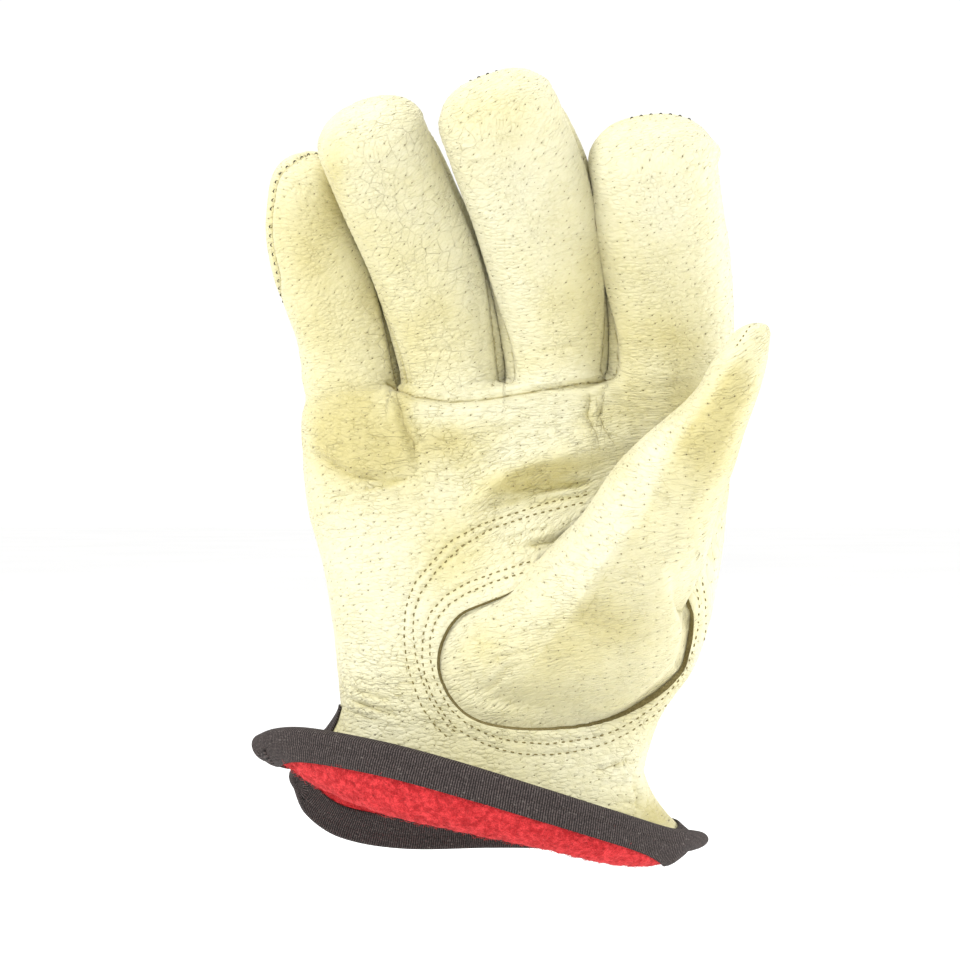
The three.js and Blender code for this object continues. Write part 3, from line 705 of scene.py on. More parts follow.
def parting_depth(points):
    """How far back the seam between front and back lies, at each point's x and height."""
    heights = np.arange(BASE_SEAM[0, 1] - 20, 222, 1.0)
    for number, rows in enumerate(FINGERS):
        at = np.minimum(heights, rows[-1, 0])
        centres, across, _, wide, _ = finger_sections(rows, at)
        past_row = np.maximum(at - rows[-2, 0], 0) / (rows[-1, 0] - rows[-2, 0])
        narrow = np.sqrt(np.clip(1 - past_row ** 2, 0, 1))
        wide = np.maximum(wide * narrow, TIP_SEAM_HALF_WIDTH)[:, None]
        left, right = centres - across * wide, centres + across * wide
        back = FORK_BACK * smoothstep(heights, *FORK_BACK_FROM)
        behind = TIP_SEAM_BACK[number] * smoothstep(heights - rows[-1, 0], *TIP_SEAM_FROM)
        left[:, 1] += behind + (back if number > 0 else 0)
        right[:, 1] += behind + (back if number < 3 else 0)
        centres[:, 1] += behind
        if number == 0:
            left[:, 1] -= LITTLE_SEAM_FORWARD * smoothstep(heights, *LITTLE_SEAM_FROM)
        if number == 0:
            columns = [left]
        else:
            columns[-1] = (columns[-1] + left) / 2
        columns += [centres, right]
    columns = np.stack(columns, 1)
    place = np.clip(points[:, 2] - heights[0], 0, len(heights) - 1.001)
    row = place.astype(int)
    t = (place - row)[:, None, None]
    here = columns[row] * (1 - t) + columns[row + 1] * t
    x_here, y_here = here[:, :, 0], here[:, :, 1]
    depth = np.where(points[:, 0] < x_here[:, 0], y_here[:, 0], y_here[:, -1])
    for k in range(x_here.shape[1] - 1):
        low, high = x_here[:, k], x_here[:, k + 1]
        within = (points[:, 0] >= low) & (points[:, 0] < high)
        share = np.clip((points[:, 0] - low) / np.maximum(high - low, 1e-6), 0, 1)
        depth = np.where(within, y_here[:, k] * (1 - share) + y_here[:, k + 1] * share, depth)
    return depth * smoothstep(points[:, 2], *SIDE_SEAM_FROM)


front = parting_depth(skin_points) - skin_points[:, 1]
flare_front = np.where(turn_of < 1, np.where(turn_of < 0.5, turn_of, 1 - turn_of),
                       -np.where(turn_of > 1.5, 2 - turn_of, turn_of - 1)) * HALF_TURN_LONG
flare_front = np.where(turn_of < 0.5, np.maximum(flare_front, 0.3), flare_front)
flare_front = np.where(turn_of > 1.5, np.minimum(flare_front, -0.3), flare_front)
front = np.where(is_flare, flare_front, front)

tapered = smoothstep(finger_height, tips - FORK_END_BELOW_TIP - FORK_TAPER, tips - 4)
half_strip = FORK_HALF_WIDTH * (1 - 0.85 * tapered)
fork_number = np.where(finger_u > 0, nearest, nearest - 1)
inner_side = (fork_number >= 0) & (fork_number < 3)
strip_v = finger_v - FORK_BACK * smoothstep(finger_height, *FORK_BACK_FROM)
in_strip = np.minimum(half_strip - np.abs(strip_v), tips - FORK_END_BELOW_TIP - finger_height)
band = np.minimum.reduce([in_strip, skin_points[:, 2] - FORK_FOOT, np.abs(finger_u) - FORK_OFF_MIDDLE])
band = np.where(inner_side, band, np.minimum(-1.0, -np.abs(finger_u)))
forks = [np.where(fork_number == k, band, np.minimum(band, -np.abs(finger_u) - 0.5)) for k in range(3)]
any_fork = np.max(forks, axis=0)
seam_height = np.interp(skin_points[:, 0], BASE_SEAM[:, 0], BASE_SEAM[:, 1])
of_inner = np.minimum(closeness[:, 0], closeness[:, 3]) - np.minimum(closeness[:, 1], closeness[:, 2])
fronts = np.minimum(skin_points[:, 2] - seam_height, of_inner * 12)

# The thumb's form. It stands on the palm's base, leans across it and rises to the side. Each row is the
# height, x and y of a section's middle, its half width and half depth, and its lean in degrees.
THUMB = np.array([
    (22.5, 21.5, -12.0, 0, 0, 0), (30, 22.5, -14.0, 29.0, 11.0, 0), (44, 25.5, -18.0, 36.0, 17.0, 4),
    (57, 33.5, -23.5, 30.5, 18.5, 11), (68.8, 41.2, -29.5, 24.0, 18.5, 16),
    (79.8, 47.8, -36.5, 20.0, 18.2, 22), (94, 54.0, -44.5, 17.2, 17.8, 28),
    (102.6, 58.8, -48.6, 14.8, 17.4, 29), (109.9, 63.8, -52.0, 12.4, 16.9, 29),
    (117.8, 68.6, -55.0, 9.6, 16.4, 28), (125.4, 72.4, -57.0, 8.3, 15.4, 18),
    (133.5, 75.2, -58.0, 8.0, 13.6, 2), (138.6, 77.4, -58.0, 6.6, 11.0, -8), (145, 79.6, -58.0, 0, 0, -8)])

# The oval seam that holds the thumb, drawn in the front view. Its upper part lies behind the thumb.
OVAL = np.array([
    (513, 590), (488, 601), (464, 611), (450, 624), (440, 644), (437, 662), (440, 680), (449, 698),
    (465, 715), (487, 725), (519, 730), (553, 730), (590, 726), (622, 716), (647, 701), (670, 682),
    (685, 664), (692, 642), (692, 620), (686, 598), (676, 572), (662, 545), (640, 524), (610, 520),
    (580, 538), (548, 564)], float)


def closed_curve(corners, steps):
    """A smooth closed line through drawn corners, with steps from each to the next."""
    made = []
    for k in range(len(corners)):
        before, here, there, after = (corners[(k + d) % len(corners)] for d in (-1, 0, 1, 2))
        for t in np.arange(steps) / steps:
            made.append(0.5 * (
                2 * here + (there - before) * t + (2 * before - 5 * here + 4 * there - after) * t * t
                + (3 * here - before - 3 * there + after) * t ** 3))
    return np.array(made)


def inside_curve(pixels, curve):
    """The distance in mm from a closed drawn line, over 0 inside it, and the number of its nearest part."""
    distance = np.full(len(pixels), 1e9)
    nearest_part = np.zeros(len(pixels), int)
    crossings = np.zeros(len(pixels), int)
    for number, (start, end) in enumerate(zip(curve, np.roll(curve, -1, axis=0))):
        way = end - start
        off = pixels - start
        t = np.clip(off @ way / (way @ way), 0, 1)
        here = np.linalg.norm(off - t[:, None] * way, axis=1)
        nearest_part = np.where(here < distance, number, nearest_part)
        distance = np.minimum(distance, here)
        passed = (start[1] > pixels[:, 1]) != (end[1] > pixels[:, 1])
        at = start[0] + (pixels[:, 1] - start[1]) / (way[1] if way[1] else 1e-9) * way[0]
        crossings += passed & (pixels[:, 0] < at)
    return np.where(crossings % 2 == 1, distance, -distance) * MM_PER_PIXEL, nearest_part


def thumb_sections(heights):
    """The middle, the two axes and the half sizes of the thumb's sections at heights of its middle."""
    centres, way = bent_middle(THUMB, heights)
    sizes = along(THUMB[1:-1][:, [0, 3, 4]], np.clip(heights, THUMB[1, 0], THUMB[-2, 0]))
    lean = np.radians(along(THUMB[:, [0, 5]], heights)[:, 1])
    across = np.stack([np.cos(lean), 0 * lean, -np.sin(lean)], 1)
    return centres, across, unit(np.cross(way, across)), sizes[:, 1], sizes[:, 2]


def thumb_form(sides=120):
    """The thumb as a closed form, domed at its foot and its tip."""
    heights = steps_up(THUMB[1, 0], THUMB[-2, 0])
    centres, across, deep, wide, thick = thumb_sections(heights)
    rings = oval_rings(centres, across, deep, wide, thick, FINGER_SQUARENESS, sides)
    foot, tip = THUMB[0, [1, 2, 0]], THUMB[-1, [1, 2, 0]]
    cap = dome_rings(centres[-1], tip, across[-1], deep[-1], wide[-1], thick[-1], FINGER_SQUARENESS, sides)
    base = dome_rings(centres[0], foot, across[0], deep[0], wide[0], thick[0], FINGER_SQUARENESS, sides)[::-1]
    return tube_mesh(np.concatenate([base, rings, cap]), foot, tip)


thumb_points, thumb_triangles = joined_skin([body_form(), thumb_form()], VOXEL)


def seen(tree, pixels):
    """Where the lines of sight through drawn places first meet a skin, and which of them do."""
    eye = Vector((0, -CAMERA_AWAY, CAMERA_HEIGHT))
    points, normals, met = np.zeros((len(pixels), 3)), np.zeros((len(pixels), 3)), np.zeros(len(pixels), bool)
    for k, (across, down) in enumerate(pixels):
        way = Vector(((across - PICTURE / 2) * MM_PER_PIXEL, CAMERA_AWAY, (PICTURE / 2 - down) * MM_PER_PIXEL))
        found, normal, _, _ = tree.ray_cast(eye, way.normalized())
        if found is not None:
            points[k], normals[k], met[k] = found, normal, True
    return points, normals, met


# The palm is drawn up to the thumb's foot all round the lower part of the seam, so
# that its cut edge lies on the thumb's leather. The oval's corners are counted
# from the first one, and those behind the thumb are left out.
OVAL_STEPS = 8
LAST_CORNER = 22
LOWER_OVAL = (-1.5, 1.0), (18.5, 20.5)
LAP_MEET = 14.0
LAP_MEET_FADE = 8.0

oval = closed_curve(OVAL, OVAL_STEPS)
thumb_pairs = edge_pairs(thumb_triangles)
thumb_points = smoothed(thumb_points, thumb_pairs, np.full(len(thumb_points), 0.5), 15)
thumb_seen, _, thumb_met = seen(BVHTree.FromPolygons(thumb_points.tolist(), thumb_triangles.tolist()), oval)
palm_seen, _, palm_met = seen(BVHTree.FromPolygons(skin_points.tolist(), skin_triangles.tolist()), oval)
corner = np.arange(len(oval)) / OVAL_STEPS
corner = np.where(corner > LAST_CORNER, corner - len(OVAL), corner)
lower_part = window(corner, *LOWER_OVAL)
meet = np.clip(palm_seen[:, 1] - thumb_seen[:, 1], 0, LAP_MEET) * lower_part * thumb_met * palm_met
for _ in range(12):
    meet = 0.5 * meet + 0.25 * (np.roll(meet, 1) + np.roll(meet, -1))
skin_in_oval, oval_part = inside_curve(in_picture(skin_points), oval)
drawn_up = np.where(skin_in_oval > 0, 1.0, hump(skin_in_oval, 0, LAP_MEET_FADE))
drawn_up *= smoothstep(-skin_points[:, 1], 0, 8) * ~is_flare
skin_points[:, 1] -= meet[oval_part] * drawn_up
skin_points = smoothed(skin_points, pairs, 0.5 * (drawn_up > 0.02) * (skin_in_oval > -26), 4)
skin_tree = BVHTree.FromPolygons(skin_points.tolist(), skin_triangles.tolist())
skin_normals = point_normals(skin_points, skin_triangles)
x, y, z = skin_points.T


def above_skin(points):
    """How far points stand out of the glove's skin."""
    result = np.zeros(len(points))
    for k, point in enumerate(points):
        found, normal, _, distance = skin_tree.find_nearest(Vector(point))
        result[k] = distance if (Vector(point) - found).dot(normal) > 0 else -distance
    return result


# Folds in the leather. The worn glove has deep creases, soft pillows and fine gathers where it is bent. Each
# is drawn as a line in the front view, with its width and depth, and pressed into the skin. In the functions
# below, facing is 1 where the skin faces the viewer.


def along_line(pixels, line, reach):
    """For points near a drawn line: which they are, how far off in mm, on which side and how far along it."""
    line = np.array(line, float)
    low, high = line.min(0) - reach / MM_PER_PIXEL, line.max(0) + reach / MM_PER_PIXEL
    near = np.nonzero(((pixels > low) & (pixels < high)).all(1))[0]
    here = pixels[near]
    lengths = np.linalg.norm(np.diff(line, axis=0), axis=1)
    starts = run_along(line)
    best = np.full(len(near), 1e9)
    side, place = np.zeros(len(near)), np.zeros(len(near))
    for k, length in enumerate(lengths):
        way = (line[k + 1] - line[k]) / length
        off = here - line[k]
        t = np.clip(off @ way, 0, length)
        gap = off - t[:, None] * way
        distance = np.linalg.norm(gap, axis=1)
        closer = distance < best
        best = np.where(closer, distance, best)
        side = np.where(closer, way[0] * off[:, 1] - way[1] * off[:, 0], side)
        place = np.where(closer, (starts[k] + t) / starts[-1], place)
    return near, best * MM_PER_PIXEL, np.sign(side), place


def press(height, pixels, facing, line, width, depth, lip=0.35, fade=0.3):
    """Press a crease along a drawn line, with a soft lip on both sides, fading out at its ends."""
    near, distance, _, place = along_line(pixels, line, width * 4)
    ends = smoothstep(np.minimum(place, 1 - place), 0, fade) if fade else 1
    shape = depth * lip * hump(distance, 2 * width, width) - depth * hump(distance, 0, width)
    height[near] += shape * ends * facing[near]


def lift(height, pixels, facing, line, width, rise, side, fade, sharp):
    """Raise a rounded fold along a drawn line: it rises gently on one side and drops sharply on the other."""
    near, distance, which, place = along_line(pixels, line, width * 3)
    ends = smoothstep(np.minimum(place, 1 - place), 0, fade)
    spread = np.where(which == side, width, width * sharp)
    height[near] += rise * hump(distance, 0, spread) * ends * facing[near]


def swell(height, pixels, facing, centre, radii, angle, rise):
    """A soft pillow or hollow round a place in the front view."""
    off = (pixels - np.array(centre)) * MM_PER_PIXEL
    c, s = math.cos(angle), math.sin(angle)
    across, up = off[:, 0] * c + off[:, 1] * s, -off[:, 0] * s + off[:, 1] * c
    height += rise * hump(across, 0, radii[0]) * hump(up, 0, radii[1]) * facing


def lattice_noise(points, seed):
    """Smooth random values from -1 to 1 over places, the same for the same seed."""
    cell = np.floor(points).astype(np.int64)
    part = points - cell
    part = part * part * (3 - 2 * part)
    total = np.zeros(len(points))
    for corner in range(8):
        step = np.array([corner & 1, corner >> 1 & 1, corner >> 2 & 1])
        at = cell + step
        mixed = (at[:, 0] * 73856093) ^ (at[:, 1] * 19349663) ^ (at[:, 2] * 83492791) ^ (seed * 2654435761)
        mixed = (mixed ^ (mixed >> 13)) * 1274126177 & 0x7FFFFFFF
        mixed = (mixed ^ (mixed >> 15)) & 0xFFFF
        weight = np.prod(np.where(step, part, 1 - part), axis=1)
        total += weight * (mixed / 32767.5 - 1)
    return total


def gathers(points, lay, strength, seed, spacing, depth):
    """Creases that run across the lay, close together and broken, where the leather is gathered."""
    bend = lattice_noise(points / (spacing * 3), seed) * 1.2
    sheet = np.stack([lay[:, 0] / (spacing * 5), lay[:, 1] / spacing + bend, 0 * bend], 1)
    wave = lattice_noise(sheet, seed + 1)
    patch = smoothstep(lattice_noise(points / (spacing * 2.5), seed + 2), -0.35, 0.45)
    return strength * depth * (0.3 - hump(wave, 0, 0.2)) * patch


# Each deep crease: the points of its line in the front view, its half width and its depth in mm.
PALM_CREASES = [
    ([(303, 444), (318, 456), (334, 466), (352, 477), (378, 480), (400, 479), (414, 473)], 1.5, 1.9),
    ([(303, 462), (320, 466), (338, 480), (356, 488), (382, 487), (408, 480)], 1.0, 0.9),
    ([(307, 497), (330, 498), (352, 494), (382, 487), (408, 479), (430, 470)], 1.0, 0.8),
    ([(312, 506), (340, 504), (368, 499), (398, 492)], 0.9, 0.5),
    ([(404, 384), (397, 391), (399, 402), (402, 412), (404, 423), (409, 434), (414, 445), (416, 457),
      (418, 470), (412, 479)], 1.0, 1.5), ([(399, 388), (391, 394), (386, 403)], 0.8, 0.7),
    ([(404, 428), (410, 427), (418, 430), (426, 424)], 0.8, 0.6),
    ([(414, 446), (420, 444), (425, 436)], 0.8, 0.5),
    ([(402, 395), (408, 408), (413, 419), (420, 428), (419, 442)], 0.9, 0.5),
    ([(588, 388), (590, 400), (588, 413), (592, 426), (597, 438), (600, 452)], 1.1, 1.1),
    ([(602, 387), (604, 401), (600, 417), (605, 431), (613, 443), (622, 457)], 1.0, 0.9),
    ([(584, 398), (594, 400), (606, 396)], 0.8, 0.5), ([(584, 412), (594, 415), (606, 411)], 0.8, 0.5),
    ([(588, 427), (598, 429), (610, 424)], 0.8, 0.5), ([(592, 441), (602, 442), (614, 437)], 0.8, 0.5),
    ([(488, 497), (510, 492), (530, 487), (552, 484), (578, 483), (604, 479)], 1.3, 1.9),
    ([(475, 507), (495, 503), (520, 497), (552, 489), (596, 483)], 0.9, 0.9),
    ([(478, 512), (500, 506), (528, 499)], 0.9, 0.6),
    ([(520, 547), (545, 543), (560, 540), (572, 533)], 1.1, 1.0),
    ([(508, 540), (532, 533), (556, 527)], 0.9, 0.6),
    ([(420, 442), (450, 440), (480, 436), (505, 430), (530, 418), (552, 405)], 0.9, 0.6),
    ([(420, 452), (452, 446), (485, 441), (512, 433), (540, 420)], 0.9, 0.5),
    ([(417, 476), (440, 469), (470, 464), (500, 460), (524, 446)], 0.9, 0.6),
    ([(345, 698), (358, 704), (372, 709), (392, 714), (404, 724)], 1.1, 0.9),
    ([(338, 706), (352, 713), (366, 717), (384, 724)], 0.9, 0.8),
    ([(346, 686), (362, 694), (380, 699), (398, 703)], 0.9, 0.7),
    ([(340, 676), (356, 680), (372, 686)], 0.9, 0.5),
    ([(588, 772), (608, 768), (626, 762), (642, 764)], 0.9, 0.9),
    ([(592, 790), (612, 785), (630, 786), (646, 792)], 0.9, 0.9),
    ([(606, 806), (622, 802), (636, 804), (648, 810)], 0.9, 0.8),
    ([(636, 764), (634, 780), (637, 798), (636, 816)], 1.0, 1.4),
    ([(628, 470), (640, 452), (650, 436)], 0.9, 0.6),
    ([(620, 404), (645, 401), (668, 402), (690, 394)], 0.9, 0.45),
    ([(616, 417), (640, 416), (662, 413)], 0.9, 0.45),
    ([(618, 392), (646, 390), (672, 386), (696, 378)], 0.9, 0.4),
    ([(618, 430), (636, 431), (652, 427)], 0.9, 0.4),
    ([(320, 372), (345, 376), (372, 374), (396, 378)], 0.9, 0.35),
    ([(316, 388), (340, 391), (370, 390)], 0.9, 0.35),
    ([(400, 344), (424, 352), (450, 350), (476, 340)], 0.9, 0.4),
    ([(512, 345), (540, 352), (570, 346), (588, 336)], 0.9, 0.4), ([(706, 548), (716, 566)], 0.9, 0.6),
    ([(704, 566), (713, 586)], 0.9, 0.6), ([(703, 588), (710, 604)], 0.9, 0.5),
    ([(712, 522), (724, 530)], 0.9, 0.5), ([(710, 536), (720, 548)], 0.9, 0.5)]


# The rows of stitches that hold the palm's reinforcement, drawn in the front view.
STITCH_ROWS = [
    [(589, 494), (547, 503), (519, 512), (482, 524), (451, 541), (427, 568), (415, 583), (408, 600),
     (405, 614), (404, 635), (406, 657), (410, 674), (416, 692), (423, 709), (434, 724), (447, 737)],
    [(585, 502), (536, 514), (493, 528), (462, 546), (437, 570), (420, 594), (414, 612), (413, 631),
     (415, 652), (420, 674), (428, 696), (438, 712), (448, 726), (457, 733)],
    [(532, 561), (497, 572), (467, 583), (445, 596), (430, 613), (423, 635), (422, 657), (425, 677),
     (433, 697), (443, 713), (455, 727), (470, 737), (485, 744), (502, 750), (522, 754), (547, 755),
     (567, 753), (592, 748), (610, 742), (630, 732), (652, 717), (672, 700), (690, 680), (701, 655),
     (706, 628), (705, 598), (702, 580)],
    [(525, 572), (493, 582), (467, 593), (448, 605), (436, 620), (430, 639), (430, 658), (434, 677),
     (442, 695), (452, 711), (466, 723), (482, 732), (498, 738), (517, 742), (547, 744), (572, 741),
     (597, 737), (615, 731), (635, 720), (655, 706), (672, 689), (686, 670), (693, 650), (698, 628),
     (699, 606), (697, 590)]]


# Where the leather is painted yellower as shade, or under 0 paler as a
# highlight, in the front view: the middle, the half sizes in mm, the turn and how much.
PAINTED_LIGHT_PATCHES = [
    ((365, 446), (15, 12), 0.2, 0.7), ((404, 405), (4, 12), 0.1, 0.35), ((660, 400), (16, 12), -0.5, 0.15),
    ((690, 345), (8, 12), 0.2, 0.2), ((450, 330), (14, 14), 0.3, 0.45), ((560, 345), (14, 12), 0, 0.2),
    ((545, 472), (20, 5), -0.2, 0.4), ((592, 425), (6, 12), -0.2, 0.25), ((660, 815), (8, 8), 0.4, 0.6),
    ((565, 470), (16, 4.5), -0.2, 0.3), ((700, 440), (14, 30), -0.5, 0.3),
    ((640, 600), (18, 26), -0.6, -0.15), ((450, 435), (12, 8), 0, 0.25), ((333, 175), (5, 14), 0, 0.4),
    ((540, 660), (13, 10), 0, 0.25), ((340, 380), (14, 12), 0, 0.3), ((668, 470), (8, 14), -0.5, -0.2),
    ((310, 250), (10, 24), 0, 0.3), ((400, 90), (20, 5), 0, 0.2), ((480, 85), (16, 5), 0, -0.2),
    ((500, 565), (20, 16), -0.6, -0.4), ((350, 560), (14, 16), 0, -0.35), ((655, 190), (16, 14), 0, -0.3),
    ((540, 380), (20, 3), -0.1, -0.3), ((490, 408), (26, 4.5), -0.08, -0.45),
    ((515, 452), (24, 4.5), -0.62, -0.5), ((600, 770), (18, 9), 0.2, -0.3),
    ((600, 520), (14, 16), -0.7, -0.3), ((530, 200), (10, 24), 0.1, -0.15), ((388, 715), (12, 8), 0, -0.2)]

# The soft pillows, and under 0 the hollows: the middle, the half sizes in mm, the turn and the rise.
PILLOWS = [
    ((352, 432), (17, 13), 0.15, 3.0), ((500, 418), (22, 6), -0.05, 0.9), ((640, 425), (12, 10), 0.1, 1.2),
    ((560, 458), (20, 4.6), -0.32, 3.6), ((503, 480), (12, 3.6), -0.72, 2.4),
    ((562, 495), (16, 3.0), -0.15, -1.2), ((545, 528), (12, 2.6), -0.25, 1.3),
    ((450, 560), (16, 12), -0.6, -1.2), ((360, 600), (14, 20), 0.1, 0.8)]

# The rounded folds: the line, the width, the rise, the side on which it rises gently,
# and how far it fades out at its ends and how sharp it drops.
ROUNDED_FOLDS = [
    ([(392, 392), (395, 410), (399, 430), (405, 450), (408, 470)], 3.0, 0.5, 1, 0.2, 0.5),
    ([(470, 500), (500, 482), (535, 462), (570, 452), (600, 452)], 5.0, 1.0, -1, 0.3, 0.25)]


def tone_with_painted_light(points):
    """How yellow the leather is at points, from 0 for the palest to 1: a random tone, with patches of painted
    shade and painted highlight laid on it.
    """
    value = 0.38 + 0.30 * lattice_noise(points / 26, 5) + 0.16 * lattice_noise(points / 11, 6)
    pixels = in_picture(points)
    front_only = 1 - smoothstep(points[:, 1], -2, 14)
    for tone in PAINTED_LIGHT_PATCHES:
        swell(value, pixels, front_only, *tone)
    return np.clip(value, 0, 1)


def relief(points, facing, lay):
    """How far each point of the skin stands out or lies in, in millimetres."""
    pixels = in_picture(points)
    height = np.zeros(len(points))
    for pillow in PILLOWS:
        swell(height, pixels, facing, *pillow)
    for crease in PALM_CREASES:
        press(height, pixels, facing, *crease)
    for fold in ROUNDED_FOLDS:
        lift(height, pixels, facing, *fold)
    x, z = points[:, 0], points[:, 2]
    strength = 0.35 + 0.9 * hump(z, 34, 10) + 0.5 * hump(z, 120, 12) + 0.9 * hump(x, 18, 22) * hump(z, 99, 12)
    height += gathers(points, lay, strength, 11, 5.2, 0.38)
    height += gathers(points, lay, strength, 31, 3.2, 0.2)
    for row in STITCH_ROWS:
        press(height, pixels, facing, row, 0.8, 0.3, 0.5, 0)
    return height


# The place of each point on the flat leather before it was sewn. It is measured round a section from the
# middle of the front or the back, and runs over from the palm's sections to the fingers' between two heights.
BODY_ROUND = (0.8, 0.4)
FINGER_ROUND = (0.87, 0.85)
PALM_TO_FINGERS = (116, 130)


def round_section(turned, v, exponent, depth):
    """How far round a section a place lies from the middle of its front or back, for a half width of 1."""
    from_middle = np.where(v < 0, turned + np.pi / 2, np.pi / 2 - turned)
    from_middle = (from_middle + np.pi) % (2 * np.pi) - np.pi
    quarter = np.linspace(0, np.pi / 2, 65)
    outline = [signed_power(np.sin(quarter), exponent), depth * (1 - signed_power(np.cos(quarter), exponent))]
    return np.sign(from_middle) * np.interp(np.abs(from_middle), quarter, run_along(np.stack(outline, 1)))


def sheet_place(points):
    """The place of the skin's points on the flat leather: across and along it, in mm."""
    key = np.clip(points[:, 2], BODY[0, 0], BODY[-1, 0])
    for _ in range(4):
        centres, across, half, thick = body_sections(key)
        off = points - centres
        up = np.cross(across, [0.0, 1, 0])
        key = np.clip(key + (off * up).sum(1), BODY[0, 0], BODY[-1, 0])
    u, v = (off * across).sum(1), off[:, 1]
    turned = np.arctan2(signed_power(v / thick, 1.25), signed_power(u / half, 1.25))
    body_u = centres[:, 0] + round_section(turned, v, *BODY_ROUND) * half
    middle_x, length = np.zeros(len(points)), np.zeros(len(points))
    for number, rows in enumerate(FINGERS):
        heights = np.linspace(rows[0, 0], rows[-1, 0], 80)
        path = along(rows[:, :3], heights)
        mine = nearest == number
        middle_x[mine] = np.interp(finger_height[mine], heights, path[:, 1])
        length[mine] = np.interp(finger_height[mine], heights, run_along(path) + rows[0, 0])
    round_finger = round_section(np.arctan2(finger_v, finger_u), finger_v, *FINGER_ROUND)
    finger_cut = middle_x + round_finger * finger_wide
    at_tip = smoothstep(finger_height, tips - 10, tips - 3)
    finger_cut += (middle_x + finger_u * 1.15 - finger_cut) * at_tip
    length += (finger_v + 9) * 0.9 * at_tip
    t = smoothstep(points[:, 2], *PALM_TO_FINGERS)
    return np.stack([body_u * (1 - t) + finger_cut * t, points[:, 2] * (1 - t) + length * t], 1)


cut_place = sheet_place(skin_points)
arc_at_wrist = np.interp(cuff_turns, np.sort(wrist_at), cut_place[on_wrist][np.argsort(wrist_at)][:, 0])
row_number = np.arange(1, CUFF_ROWS + 1)[:, None] / CUFF_ROWS
flare_cut = np.stack([np.broadcast_to(arc_at_wrist, flare_rows.shape[:2]),
                      cuff_grid[0][:, 2] - row_number * cuff_lengths], -1)
cut_place[is_flare] = flare_cut.reshape(-1, 2)
lay = cut_place.copy()
lay[:, 1] -= 0.5 * np.maximum(lay[:, 0] + 5, 0) * hump(lay[:, 1], 92, 26)

# The cuff is stiffer than the palm, and its folds are
# shallower. At the fingers' tips the leather is stretched.
CUFF_FOLDS = 0.35
TIP_STRETCHED = 12

facing = smoothstep(-skin_normals[:, 1], -0.1, 0.35) * (turn_of < 1)
facing = np.where(is_flare & (turn_of < 1), 1.0, facing)
skin_height = relief(skin_points, facing, lay)
skin_height *= np.where(is_flare, CUFF_FOLDS, 1.0) * smoothstep(tips - finger_height, 0, TIP_STRETCHED)

# Fine sharp wrinkles, too narrow to press into the skin: each point keeps its distance from the nearest one,
# and the leather's finish draws it. The first of them are strong.
STRONG_WRINKLES = 12
WRINKLE_REACH = 3.0
NO_WRINKLE = 9.0
FINE_WRINKLES = [line for line, _, depth in PALM_CREASES if depth > 0.7] + [
    [(310, 402), (340, 399), (372, 404), (396, 409)], [(308, 424), (336, 428), (366, 426), (398, 431)],
    [(312, 412), (345, 413), (380, 417)], [(309, 437), (345, 444), (384, 447), (408, 444)],
    [(318, 452), (340, 457), (372, 461), (402, 459)], [(324, 433), (331, 452), (341, 468), (349, 484)],
    [(336, 434), (350, 452), (360, 470)], [(308, 466), (330, 476), (346, 488), (368, 492)],
    [(310, 509), (345, 506), (380, 501), (412, 494), (440, 486)],
    [(314, 520), (352, 520), (392, 514), (432, 503)], [(322, 540), (360, 536), (398, 532)],
    [(426, 406), (452, 410), (485, 408), (512, 402)], [(424, 420), (455, 423), (484, 421), (505, 415)],
    [(428, 431), (458, 431), (492, 426), (516, 416)], [(430, 461), (462, 455), (492, 451), (515, 441)],
    [(430, 484), (460, 477), (488, 468), (505, 458)], [(442, 494), (464, 486), (480, 474)],
    [(528, 412), (545, 404), (562, 397)], [(520, 424), (540, 416), (560, 404)],
    [(612, 402), (634, 398), (660, 404)], [(610, 415), (636, 411), (662, 416)],
    [(616, 428), (640, 424), (660, 428)], [(622, 440), (642, 438), (654, 440)],
    [(566, 400), (580, 404), (590, 412)], [(563, 420), (577, 424), (590, 428)],
    [(500, 520), (530, 512), (560, 507), (582, 500)], [(470, 545), (500, 534), (530, 527), (556, 520)],
    [(458, 562), (486, 549), (516, 541), (544, 535)], [(515, 553), (538, 549), (556, 548)],
    [(463, 575), (490, 563), (514, 557), (534, 553)], [(452, 588), (474, 576), (500, 566)],
    [(340, 655), (362, 660), (388, 670), (402, 680)], [(338, 668), (360, 672), (384, 682), (400, 692)],
    [(350, 640), (374, 648), (396, 660)], [(344, 716), (356, 720), (372, 728)],
    [(366, 690), (384, 694), (406, 700)], [(560, 770), (590, 764), (622, 756), (646, 750)],
    [(548, 780), (580, 778), (606, 777), (640, 774)], [(580, 800), (604, 797), (630, 795)],
    [(650, 742), (640, 754), (622, 766)], [(640, 770), (648, 782), (650, 800)],
    [(655, 735), (642, 744), (620, 750)], [(600, 814), (620, 812), (640, 818)],
    [(620, 250), (648, 246), (680, 238), (712, 228)], [(622, 262), (655, 258), (690, 250), (718, 242)],
    [(622, 290), (650, 292), (684, 288), (716, 280)], [(618, 330), (645, 326), (674, 330), (704, 326)],
    [(618, 350), (646, 344), (676, 350), (700, 348)], [(618, 370), (644, 366), (672, 370)],
    [(616, 338), (642, 334), (668, 340), (694, 336)], [(616, 360), (640, 357), (664, 360), (690, 352)],
    [(616, 378), (640, 376), (664, 380), (694, 370)], [(614, 386), (640, 383), (666, 384), (690, 382)],
    [(616, 398), (640, 394), (668, 394), (692, 386)], [(614, 409), (640, 406), (664, 408), (682, 404)],
    [(614, 422), (636, 420), (658, 420)], [(618, 435), (636, 436), (648, 432)],
    [(680, 330), (676, 346), (682, 362)], [(668, 352), (676, 366), (684, 382)],
    [(688, 356), (684, 372), (690, 388)], [(306, 300), (330, 296), (352, 298)],
    [(306, 314), (332, 312), (358, 316)], [(308, 338), (336, 340), (364, 338)],
    [(310, 362), (338, 365), (368, 362)], [(312, 380), (340, 383), (372, 382)],
    [(316, 396), (340, 396), (368, 396)]]


